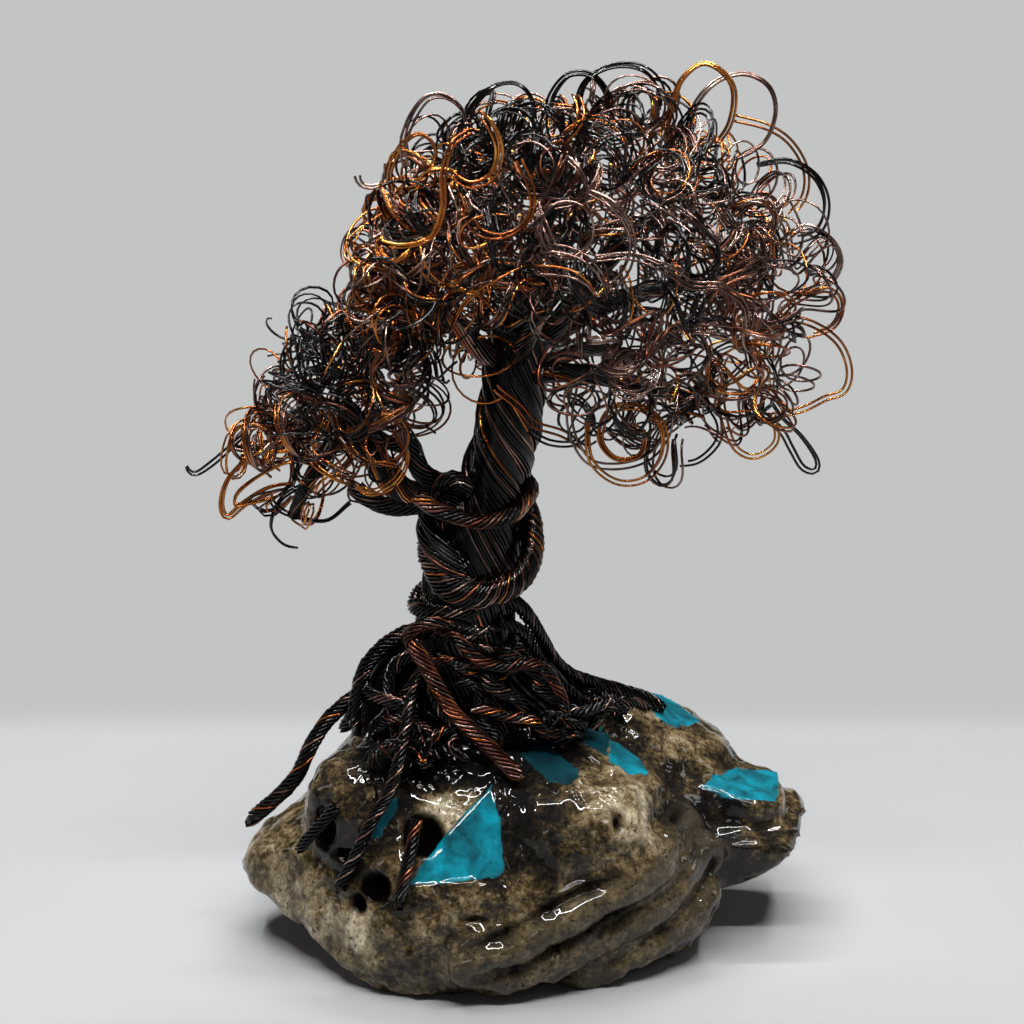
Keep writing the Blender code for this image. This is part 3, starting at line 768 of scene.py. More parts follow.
heights = np.arange(60.0, 174.0, 2.4)
trunk_heights = [centre[2] for centre, _ in TRUNK]
trunk_centre = np.stack([np.interp(heights, trunk_heights, [centre[axis] for centre, _ in TRUNK])
                         for axis in (0, 1)] + [heights], axis=1)
trunk_radius = np.interp(heights, trunk_heights, [radius for _, radius in TRUNK])
lean = np.interp(heights, (60, 85, 100, 108, 118, 126, 132, 150, 172),
                 (0.045, 0.03, 0.04, 0.05, 0.05, 0.08, 0.125, 0.10, 0.05))
twist = -np.concatenate(([0], np.cumsum(lean[1:] * np.diff(heights))))
# Between the bindings the bundle swells, which the plain solid leaves to its binding ropes.
swell = np.interp(heights, (80, 96, 104, 116, 124, 129), (0.6, 1.8, 2.2, 2.3, 1.4, 0.0))
trunk_wires = []
for number in range(TRUNK_WIRES):
    start = 2 * np.pi * number / TRUNK_WIRES
    angle = start + twist + 0.03 * np.sin(heights / 9 + random.uniform(0, 6.3))
    bulge = 0.45 * np.cos(5 * start + 1.0) + 0.30 * np.cos(13 * start) + random.normal(0, 0.12)
    reach = trunk_radius + swell - TRUNK_WIRE + bulge
    points = trunk_centre + np.stack((np.cos(angle) * reach, np.sin(angle) * reach,
                                      np.zeros(len(heights))), axis=1)
    kind = random.choice(4, p=(0.88, 0.07, 0.01, 0.04))
    trunk_wires.append((points, TRUNK_WIRE, kind))
trunk_wires.append((trunk_centre[1:-1], (trunk_radius + swell)[1:-1] - 0.95, 0))
add_wires("trunk_wires", trunk_wires, ["trunk"])
print("trunk:", TRUNK_WIRES, "wires,", made_triangles[-1], "triangles")

# %% [markdown]
# ## Ropes: roots, bindings and limbs
#
# A rope is a ring of wires wound round one line. Each wire is a helix, so its points are the line's
# points moved out by the rope's radius in a direction that turns as the line goes on. A
# rope of wires 0.7 mm thick that lie at about 35 degrees is what the real roots show. The lines are
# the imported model's own, and are pushed clear of the stone and the trunk in the same way.

# %% Rope helpers
ROPE_WIRE = 0.38            # radius of a wire in a rope
ROPE_LEAN = 36.0            # angle between a wire and its rope, in degrees
TIP_TAPER = 3.0             # length over which a root's end closes up


def trunk_side(points):
    """Rough distance from each point to the trunk's side."""
    across = np.interp(points[:, 2], trunk_heights, [centre[0] for centre, _ in TRUNK])
    back = np.interp(points[:, 2], trunk_heights, [centre[1] for centre, _ in TRUNK])
    radius = np.interp(points[:, 2], trunk_heights, [radius for _, radius in TRUNK])
    return np.hypot(points[:, 0] - across, points[:, 1] - back) - radius


def keep_clear(points, radius, sink):
    """Lift a rope's line until the rope rests on the stone and the trunk, sunk in a little."""
    points = points.copy()
    for field in (trunk_side, stone):
        for _ in range(12):
            short = radius - sink - field(points)
            if field is trunk_side:
                # The trunk's foot is the only end of it that a rope comes near.
                short[points[:, 2] < TRUNK[0][0][2] - 1] = 0
            points += slope(field, points) * np.maximum(short, 0)[:, None]
    return points


def from_trunk(points, radius):
    """Slide a rope's first point to the trunk's skin, where its wires leave the bundle."""
    points = np.array(points, float)
    for _ in range(8):
        first = points[:1]
        points[:1] -= slope(trunk_side, first) * (trunk_side(first) - radius * 0.4)[:, None]
    return points


def rope(line, radius, mix, handed=1, tips=True, lean=ROPE_LEAN):
    """The wires of a rope round a line; radius is one number or one for each point."""
    length = np.concatenate(([0], np.cumsum(np.linalg.norm(np.diff(line, axis=0), axis=1))))
    radius = np.broadcast_to(radius, len(line)).astype(float)
    if tips:
        close = np.clip((length[-1] - length) / TIP_TAPER, 0, 1)
        radius = radius * (0.65 + 0.35 * np.sqrt(close))
    arm = radius - ROPE_WIRE
    lean = np.radians(lean)
    count = max(5, int(2 * np.pi * arm.max() * np.cos(lean) / (2.45 * ROPE_WIRE)))
    rate = np.tan(lean) / np.maximum(arm, 0.8)
    wound = np.concatenate(([0], np.cumsum(0.5 * (rate[1:] + rate[:-1]) * np.diff(length))))
    sides, ups = frames(line)
    # The core is black wire, so the gaps between the rope's wires read dark: partly the bundle's own inner
    # wires, partly painted shade between the wires.
    wires = [(line, np.maximum(arm - 0.95 * ROPE_WIRE, 0.2), 0)]
    for number in range(count):
        angle = 2 * np.pi * number / count + handed * wound
        out = arm * (1 + random.normal(0, 0.03) + 0.04 * np.sin(length / 4 + random.uniform(0, 6.3)))
        points = line + sides * (np.cos(angle) * out)[:, None] + ups * (np.sin(angle) * out)[:, None]
        last = len(points) - (random.randint(0, 3) if tips else 0)
        wires.append((points[:last], ROPE_WIRE * random.uniform(0.92, 1.06), random.choice(4, p=mix)))
    return wires


# %% Roots
ROOT = 2.2                  # radius of a main root or binding rope
THIN_ROOT = 1.8             # radius of a thin root
DARK_MIX = (0.77, 0.11, 0.03, 0.09)     # shares of black, brown, copper and dark copper wire
COPPER_MIX = (0.32, 0.14, 0.07, 0.47)
RING_MIX = (0.62, 0.14, 0.06, 0.18)
LOOP_MIX = (0.66, 0.20, 0.05, 0.09)
# Roots that show, from the trunk outward: radius, then the points that each passes through.
ROOTS = {
    "root_far_left": (ROOT, ((-26, 1, 83), (-33, 1, 77), (-39.5, 0, 71.5), (-45.5, -4, 68),
                             (-50.5, -6, 63.5), (-54.5, -8, 57.5), (-57.7, -9, 50.5), (-63, -9, 44),
                             (-70, -8, 37.2), (-72.5, -7, 34.5))),
    "root_left_hump": (ROOT, ((-24, -4, 90), (-30.5, -5, 88.3), (-37, -6, 83), (-40.2, -7, 77.5),
                              (-41.6, -8, 71), (-43, -9, 64))),
    "root_front": (ROOT, ((-26.5, -10, 91.5), (-26, -14, 90), (-23.9, -16, 86.5), (-20.6, -16.5, 80.5),
                          (-15.6, -17.5, 71.8), (-8.7, -20, 65.4), (-2.6, -23, 60.2), (2.4, -26, 55.8))),
    "root_front_left": (THIN_ROOT, ((-25, -10, 82), (-26, -15, 76), (-28, -22, 68.5), (-29.9, -27, 60.8),
                                    (-32.5, -29, 53), (-37, -31, 46), (-41.5, -32, 36), (-45.5, -32, 26))),
    "root_hollow": (THIN_ROOT, ((-25, -32, 47), (-26.5, -38, 40), (-28.5, -42, 33), (-29.5, -44, 27))),
    "root_knob": (THIN_ROOT, ((-46, -27, 49), (-50, -27, 44), (-54.5, -25.5, 38.5), (-57, -23, 34))),
    "root_right": (ROOT, ((-2, -10, 101.5), (2, -8, 98), (5, -6, 93), (8, -3, 86.5), (11, 2, 79),
                          (16, 7, 72.5), (24, 15, 66.5), (32, 20, 62), (37, 21, 58), (41, 20, 54))),
    "root_right_low": (THIN_ROOT, ((-3, -11, 95), (1.5, -9, 92), (4.5, -7, 87), (7.5, -6, 82),
                                   (12, -4.5, 76), (18, -2, 69), (24, 2, 63.5))),
    "root_cross": (THIN_ROOT, ((-18, -12, 92), (-14, -14.5, 90.5), (-10, -15, 86.5), (-5.3, -14.5, 83.7),
                               (-0.5, -13.5, 83), (4.3, -12.5, 83.5), (9, -11.5, 81), (12, -11, 76),
                               (14.5, -11.5, 69))),
    "root_right_hook": (THIN_ROOT, ((3, 6, 69), (9, 9, 68), (15, 14, 66.5), (19, 20, 66))),
    "root_middle": (THIN_ROOT, ((1, -3, 71), (4, -5, 67), (9, -9, 63), (13, -14, 60))),
    "root_right_tip": (THIN_ROOT, ((24.5, 11, 65.5), (28, 8, 62), (31, 4, 59))),
    "root_left_tangle": (THIN_ROOT, ((-25, 3, 76), (-28, -1, 70), (-31, -6, 64), (-33, -10, 60))),
    "root_back_left": (ROOT, ((-21, 11, 84), (-27, 19, 74), (-36, 27, 62), (-44, 33, 52), (-49, 36, 44))),
    "root_back": (ROOT, ((-13, 13, 86), (-14, 20, 76), (-15, 29, 66), (-13, 38, 56), (-10, 44, 44))),
    "root_back_right": (ROOT, ((-3, 10, 86), (3, 18, 76), (10, 28, 66), (14, 37, 58), (19, 43, 48))),
}
LOOSE_ROOTS = ("root_hollow", "root_knob", "root_right_tip")
COPPER_ROPES = ("root_front", "root_cross", "binding_ring")
ROPE_STEP = 1.6             # spacing of a rope's points

for name, (radius, points) in ROOTS.items():
    if name not in LOOSE_ROOTS:
        points = from_trunk(points, radius)
    line = keep_clear(through(points, ROPE_STEP), radius, 0.35)
    copper = name in COPPER_ROPES
    add_wires(name + "_wires",
              rope(line, radius, COPPER_MIX if copper else DARK_MIX, handed=-1 if copper else 1),
              [name])
print("roots:", len(ROOTS), "ropes,", sum(made_triangles[1:]), "triangles")

# %% More roots at the trunk's foot
# The foot of the bundle parts into more roots than the plain solids show. They lie under and
# between the main ones: radius, then the points that each passes through.
FOOT_ROOTS = (
    (2.2, ((-25, -1, 88), (-31, -2, 83), (-35.5, -4, 77), (-38, -7, 71), (-39, -11, 64))),
    (2.2, ((-25, 3, 88), (-32, 3, 83), (-38, 2, 76), (-41, 0, 69), (-43, -2, 62))),
    (2.0, ((-24, -6, 86), (-29, -8, 82), (-33, -10, 76), (-34, -13, 69), (-37, -15, 62))),
    (2.0, ((-23, -8, 82), (-27, -12, 76), (-31, -13, 70), (-30, -17, 64), (-34, -20, 58))),
    (2.0, ((-40, -5, 75), (-37, -10, 73), (-31, -14, 73), (-26, -16, 70), (-21, -17, 65), (-22, -21, 60))),
    (1.8, ((-36, -13, 65), (-32, -17, 69), (-27, -18, 69), (-24, -19, 64), (-19, -22, 60))),
    (1.8, ((-21, -11, 79), (-20, -15, 73), (-15, -17, 67), (-16, -20, 62), (-11, -23, 60))),
    (1.8, ((-14, -13, 81), (-10, -15, 76), (-9, -15, 70), (-4, -17, 67), (-4, -20, 61))),
    (2.0, ((-8, -13, 82), (-4, -14, 77), (1, -14, 74), (2, -14, 68), (6, -16, 63))),
    (1.8, ((-10, -15, 72), (-3, -16, 70), (4, -15, 69), (9, -14, 65), (16, -12, 62))),
    (2.0, ((-2, -12, 86), (4, -11, 82), (7, -11, 76), (12, -10, 72), (13, -10, 66), (19, -10, 60))),
    (1.8, ((22, -3, 61), (24, -2, 65), (29, 2, 66), (34, 8, 64), (38, 12, 60))),
    (1.8, ((14, -6, 66), (18, -7, 68), (23, -5, 68), (27, 0, 67), (32, 4, 64))),
    (2.0, ((1, -3, 80), (6, -2, 76), (9, 1, 71), (15, 1, 67), (22, -1, 61))),
    (2.2, ((0, 5, 82), (6, 8, 76), (11, 9, 71), (18, 11, 67), (26, 10, 62))),
    (2.0, ((-18, 11, 84), (-21, 16, 76), (-24, 22, 69), (-26, 28, 62))),
    (2.0, ((-8, 12, 84), (-7, 18, 76), (-5, 24, 69), (-4, 31, 63))),
    (2.0, ((2, 8, 82), (7, 14, 75), (13, 19, 69), (19, 26, 63))),
    (2.0, ((-24, 7, 84), (-30, 11, 77), (-35, 14, 70), (-40, 17, 62))),
    (1.6, ((-14, -16, 64), (-18, -19, 66), (-23, -20, 64), (-24, -23, 60), (-20, -26, 58))),
    (1.6, ((-38, -22, 58), (-34, -19, 62), (-29, -18, 63), (-26, -20, 60), (-27, -25, 57))),
    (1.6, ((10, -8, 66), (15, -11, 66), (19, -9, 64), (18, -4, 63), (13, -2, 66))),
)
# Ropes wound round the trunk: start and end angle in degrees, clockwise from the left seen
# from above, and start and end height.
FOOT_WRAPS = (
    (-40, 150, 96, 86), (-30, 170, 90, 95), (-60, 120, 84, 92), (-20, 190, 86, 78),
    (10, 200, 80, 88), (-70, 90, 78, 84), (-10, 120, 100, 92),
)
for start, end, low, high in FOOT_WRAPS:
    turn = np.radians(np.linspace(start, end, 7))
    level = np.linspace(low, high, 7) + 1.5 * np.sin(turn * 2)
    middle = [np.interp(level, trunk_heights, [centre[axis] for centre, _ in TRUNK]) for axis in (0, 1)]
    out = np.interp(level, trunk_heights, [radius for _, radius in TRUNK]) + 1.5
    FOOT_ROOTS += ((1.5, tuple(zip(middle[0] - np.cos(turn) * out, middle[1] - np.sin(turn) * out,
                                   level))),)
# The dark heart of the foot: thick bars under the ropes, so that no light comes through.
FOOT_HEART = (
    ((11, 12.5, 14, 16, 17), ((-12, 2, 92), (-13, 2, 82), (-14, 1, 74), (-14, 1, 64), (-14, 1, 58))),
    ((4, 5.5, 6.2, 6.5, 6.5), ((-22, -1, 88), (-29, -2, 82), (-34, -4, 74), (-36, -6, 66), (-37, -8, 60))),
    ((3, 4, 5, 6), ((-5, -3, 82), (1, -3, 75), (7, -2, 69), (12, 0, 63))),
)
WIGGLE = 1.1                # how far a root strays to either side of its line
foot_wires = [(np.array(points, float), np.array(radii, float), 0) for radii, points in FOOT_HEART]
for radius, points in FOOT_ROOTS:
    line = through(points, ROPE_STEP)
    stray = np.sin(np.arange(len(line)) / 1.9 + random.uniform(0, 6.3)) * WIGGLE * (radius > 1.5)
    line = keep_clear(line + np.outer(stray, random.normal(0, 0.7, 3)), radius, 0.6)
    foot_wires += rope(line, radius, DARK_MIX, handed=random.choice((-1, 1)))
add_wires("foot_root_wires", foot_wires)
print("foot roots:", len(FOOT_ROOTS), "ropes,", made_triangles[-1], "triangles")

# %% Bands laid round the trunk's left side, and the bundles where the left branch leaves it
# Between the ring and the loop the outer wires sweep down from the left and under the front. Each
# band: radius, lean of its wires in degrees, then points.
SIDE_BANDS = (
    (2.4, 12, ((-18, 9, 124), (-22.5, 0, 122.5), (-21.5, -6, 119.5), (-17.5, -11, 115), (-12, -13, 110.5))),
    (2.4, 12, ((-19, 8, 120), (-23, -1, 118.5), (-22, -7, 115), (-17, -11.5, 110.5), (-11, -13, 107))),
    (2.2, 14, ((-20, 6, 114), (-23, -1, 112.5), (-21.5, -7, 110), (-17, -11, 106.5), (-11, -12.8, 104))),
    (2.2, 30, ((-21, -6, 127), (-18.5, -8, 131.5), (-15.5, -8.5, 133.5), (-12.5, -8.5, 132), (-11, -8, 128))),
    (2.8, 25, ((-15, -2, 130), (-20, -5, 131.5), (-24, -6, 135), (-26, -6, 140), (-29, -6, 146))),
    (2.4, 25, ((-17, -5, 127), (-24, -7, 125.5), (-31, -7, 125), (-37, -7, 127), (-43, -6, 132))),
    (2.0, 36, ((-8, 13, 99), (-17, 11, 99), (-23.5, 6, 98.5), (-26, 0, 97), (-25.5, -6, 96))),
    (2.0, 25, ((-27, -6, 141), (-33, -7, 143), (-39, -7, 148), (-43, -6, 154))),
)
side_wires = []
for radius, degrees, points in SIDE_BANDS:
    side_wires += rope(through(points, ROPE_STEP), radius, DARK_MIX, handed=-1, lean=degrees)
knot = keep_clear(through(((-17, -12, 95), (-21, -14.5, 95.5), (-25, -15, 94.5), (-27.5, -14, 91.5),
                           (-27, -14.5, 88.5)), ROPE_STEP), 1.8, 0.3)
side_wires += rope(knot, 1.8, COPPER_MIX, lean=25)
add_wires("side_band_wires", side_wires)
print("side bands:", len(SIDE_BANDS), "and a knot,", made_triangles[-1], "triangles")

# %% Bindings
BINDINGS = {
    "binding_ring": (ROOT, ((-25, -12, 130), (-20, -13, 126.5), (-15, -13, 124.5), (-8, -13, 122.8),
                            (-2, -11.5, 123.5), (2, -8, 125), (3.5, -1, 127.5), (1, 7, 130),
                            (-5, 11, 131.5), (-12, 10, 131.5))),
    "binding_loop": (ROOT, ((-9, 12, 124), (-1, 11, 124), (3, 6, 124), (4.5, 0, 121.5), (5.5, -4, 117),
                            (5.0, -8, 111.5), (2, -11, 107), (-3, -12.5, 104), (-10, -12.8, 103.2),
                            (-16.5, -11, 105), (-20.5, -6, 109.5), (-21.5, 0, 114), (-19, 7, 116),
                            (-14, 11, 117))),
    "binding_foot": (ROOT, ((-25, 3, 98), (-26, -3, 96), (-23, -9, 97), (-16, -12.5, 98),
                            (-9, -13, 97.5))),
}
# The loop is the thickest where it crosses the front: shares of its length, and its radius there.
LOOP_GIRTH = ((0, 0.1, 0.3, 0.5, 0.65, 0.8, 1), (2.2, 2.6, 3.0, 3.8, 4.6, 3.8, 2.4))
for name, (radius, points) in BINDINGS.items():
    line = keep_clear(through(points, ROPE_STEP), radius, 0.5)
    fuller = np.interp(np.linspace(0, 1, len(line)), *LOOP_GIRTH) if name == "binding_loop" else radius
    copper = name in COPPER_ROPES
    lean = 52 if name == "binding_loop" else ROPE_LEAN
    mix = {"binding_ring": RING_MIX, "binding_loop": LOOP_MIX}.get(name, DARK_MIX)
    add_wires(name + "_wires", rope(line, fuller, mix, -1, lean=lean),
              [name])
print("bindings:", len(BINDINGS))

# %% Limbs
LIMBS = {
    "left_branch": (4.6, 3.0, ((-17, -3, 126), (-22, -4, 126.5), (-28, -5, 128), (-33, -5, 134),
                               (-38, -5, 141), (-43, -5, 146))),
    "limb_far_left": (2.4, 1.6, ((-47.2, -2.5, 147), (-53, 2, 145), (-60, 2, 141), (-68, 0, 138))),
    "limb_left_low": (2.4, 1.6, ((-45.5, -9.5, 144), (-50, -12, 138), (-54, -13, 131), (-57, -12, 124))),
    "limb_left_high": (2.8, 1.6, ((-9, -5, 166), (-18, -9, 177), (-27, -11, 187), (-34, -11, 195))),
    "limb_left_back": (2.8, 1.6, ((-9, 5, 165), (-20, 13, 173), (-31, 18, 178), (-40, 20, 180))),
    "limb_top": (3.2, 1.8, ((2, 1, 171.6), (4, 2, 187), (9, 3, 200), (14, 2, 212))),
    "limb_right_high": (3.0, 1.8, ((11, -1, 171), (20, -6, 185), (31, -9, 198), (42, -9, 207))),
    "limb_right": (3.2, 1.8, ((12, 6, 168), (24, 10, 175), (38, 12, 179), (53, 10, 181))),
    "limb_right_low": (3.0, 1.8, ((10, -6, 161), (22, -13, 162), (35, -17, 160), (48, -16, 156))),
    "limb_front": (2.8, 1.6, ((2, -10, 167), (5, -20, 176), (8, -29, 183), (12, -36, 190))),
    "limb_back": (2.8, 1.6, ((4, 11, 167), (8, 22, 177), (13, 31, 185), (18, 38, 190))),
    "limb_back_low": (2.8, 1.6, ((8, 9, 159), (18, 22, 160), (27, 31, 158), (34, 38, 154))),
}
BRANCH_LIMBS = ("limb_far_left", "limb_left_low", "limb_top")
limb_ends = {}
for name, (near, far, points) in LIMBS.items():
    if name not in BRANCH_LIMBS:
        points = from_trunk(points, near)
        inside = np.array([np.interp(points[0][2] - 4, trunk_heights, [centre[axis] for centre, _ in TRUNK])
                           for axis in (0, 1)] + [points[0][2] - 4])
        points = np.vstack((0.45 * points[0] + 0.55 * inside, points))
    line = through(points, 2.6)
    limb_ends[name] = line[-1]
    add_wires(name + "_wires",
              rope(line, np.linspace(near, far, len(line)), DARK_MIX, tips=False, lean=14),
              [name])
print("limbs:", len(LIMBS), "ropes; so far", sum(made_triangles), "triangles")

# %% [markdown]
# ## The crown's curls
#
# Each lock is three to five wires wound together round a rod, slipped off, and pulled open. So the
# wires of one lock run side by side, and drift apart a little towards their tips. A lock is drawn
# as a helix round a bent line. The line runs out from a limb's end, turns over on the crown's
# outside and dives back in, so that what stands up from the crown is arches and not wire ends. The
# places are spread evenly over egg shapes, which together are the crown's outline: the dome, its
# left shoulder, the low left cluster and the fringe under the dome.

# %% How one lock is drawn
CURL_WIRE = 0.345           # radius of a wire in the crown
TURN_POINTS = 22            # points along one turn


def smoothstep(value):
    """0 to 1 with soft ends."""
    value = np.clip(value, 0, 1)
    return value * value * (3 - 2 * value)


def lock(start, peak, tip, curl, turns, wires, mix):
    """The wires of one lock, wound round a line bent from start over its peak to the tip."""
    count = int(turns * TURN_POINTS) + 1
    wound = np.linspace(0, 1, count)
    share = wound ** 0.75       # the curls are open near the limb and closer towards the tip
    middle = 2 * np.array(peak) - 0.5 * (np.array(start) + tip)
    line = (np.outer((1 - share) ** 2, start) + np.outer(2 * share * (1 - share), middle)
            + np.outer(share ** 2, tip) + np.outer(np.sin(share * 2 * np.pi), random.normal(0, 2.0, 3))
            + np.outer(np.sin(share * 3 * np.pi), random.normal(0, 1.2, 3)))
    sides, ups = frames(line)
    phase = random.uniform(0, 2 * np.pi)
    handed = random.choice((-1, 1))
    breath = 1 + random.uniform(-0.35, 0.35) * np.sin(wound * random.uniform(4, 9) + phase)
    apart = random.uniform(0.15, 0.5)
    main = random.choice(4, p=mix)
    made = []
    for number in range(wires):
        wide = curl * random.uniform(0.92, 1.08) * smoothstep(share / 0.22 + 0.12) * breath
        angle = phase + handed * (number * apart + 2 * np.pi * turns * wound * (1 + random.normal(0, 0.012)))
        drift = np.outer(share, random.normal(0, 1.3, 3)) + random.normal(0, 0.3, 3)
        points = (line + drift + sides * (np.cos(angle) * wide)[:, None]
                  + ups * (np.sin(angle) * wide)[:, None])
        keep = int(count * random.uniform(0.86, 1.0))
        kind = main if random.uniform() < 0.5 else random.choice(4, p=mix)
        made.append((points[:keep], CURL_WIRE * random.uniform(0.92, 1.05), kind))
    return made


# %% Where the locks go
# The crown's egg shapes: centre, half sizes, locks on the outside and locks within.
EGGS = {
    "dome": ((20, 1, 186), (52, 43, 42), 150, 30),
    "shoulder": ((-20, -1, 188), (20, 27, 28), 40, 6),
    "cluster": ((-44, -2, 152), (30, 22, 20), 50, 2),
    "fringe": ((40, -4, 157), (31, 31, 12), 20, 2),
}
EGG_LIMBS = {
    "dome": ("limb_top", "limb_right_high", "limb_right", "limb_right_low", "limb_front",
             "limb_back", "limb_back_low"),
    "shoulder": ("limb_left_high", "limb_left_back"),
    "cluster": ("limb_far_left", "limb_left_low", "left_branch"),
    "fringe": ("limb_right_low", "limb_back_low", "limb_right"),
}
GOLDEN_ANGLE = np.pi * (3 - np.sqrt(5))
CURL_ROOM = 8.0             # how far curls stand out from their line
# The crown's straight left side: a point on it and its outward direction.
LEFT_SIDE = (np.array((-30.0, 0.0, 217.0)), np.array((-0.846, 0.0, 0.533)))


def spread_over(centre, size, count, scale):
    """Evenly spread places on an egg shape, by the golden angle, and the ways out from it."""
    number = np.arange(count) + 0.5
    high = 1 - 2 * number / count
    around = np.sqrt(1 - high ** 2)
    unit = np.stack((around * np.cos(number * GOLDEN_ANGLE), around * np.sin(number * GOLDEN_ANGLE),
                     high), axis=1)
    return np.array(centre) + unit * np.array(size) * scale, unit


def in_window(place):
    """True in front of the trunk and in the gaps at the dome's foot, where the crown is open."""
    x, y, z = place
    seen = z + 0.315 * y
    trunk_front = -15 < x < 13 and y < 14 and (seen < 152 or seen < 180 and random.uniform() < 0.6)
    beside_trunk = -25 < x < 12 and z < 153
    under_dome = 36 < x < 52 and z < 163
    thinned = x > 12 and z < 170 and random.uniform() < 0.4
    return trunk_front or beside_trunk or under_dome or thinned


def colour_mix(place):
    """Shares of black, brown, copper and dark copper wire at a place in the crown."""
    x, y, z = place
    if z > 212:
        return (0.44, 0.42, 0.10, 0.04)
    if x < -46 and z > 153:
        return (0.84, 0.08, 0.05, 0.03)
    if x < -20 and z < 156:
        return (0.16, 0.12, 0.52, 0.20)
    if x < -5:
        return (0.33, 0.26, 0.27, 0.14)
    if x > 55 or z < 165:
        return (0.30, 0.27, 0.20, 0.23)
    return (0.37, 0.36, 0.12, 0.15)


def before_trunk(points):
    """True if too much of a wire would hang before the trunk, or in the gap to its left."""
    x, y, z = points.T
    seen = z + 0.315 * y
    low = np.mean((x > -12) & (x < 11) & (y < 8) & (seen > 118) & (seen < 152)) > 0.10
    high = np.mean((x > -12) & (x < 11) & (y < 8) & (seen >= 152) & (seen < 180)) > 0.5
    gap = np.mean((x > -23) & (x < -11) & (seen > 140) & (seen < 170)) > 0.3
    return low or high or gap


random.seed(41)
crown = {name: [] for name in EGGS}
for name, (centre, size, outside, within) in EGGS.items():
    ends = [limb_ends[limb] for limb in EGG_LIMBS[name]]
    for count, scale in ((outside, 1.0), (within, 0.6)):
        for place, out in zip(*spread_over(centre, size, count, scale)):
            place = place + random.normal(0, 2.0, 3)
            past = (place - LEFT_SIDE[0]) @ LEFT_SIDE[1] + CURL_ROOM
            place = place - LEFT_SIDE[1] * max(past, 0)
            if in_window(place):
                continue
            start = min(ends, key=lambda end: np.linalg.norm(end - place)) + random.normal(0, 2.5, 3)
            along = np.cross(out, random.normal(0, 1, 3))
            along *= random.uniform(10, 20) / np.linalg.norm(along)
            tip = place + along - out * random.uniform(4, 10)
            length = np.linalg.norm(place - start) + np.linalg.norm(tip - place)
            turns = np.clip(length / random.uniform(9.0, 18.0), 1.4, 4.2)
            made = lock(start, place - along * 0.25, tip, random.uniform(4.0, 7.4), turns,
                        random.randint(1, 5), colour_mix(place))
            crown[name] += [wire for wire in made if not before_trunk(wire[0])]
print("crown wires:", {name: len(wires) for name, wires in crown.items()})

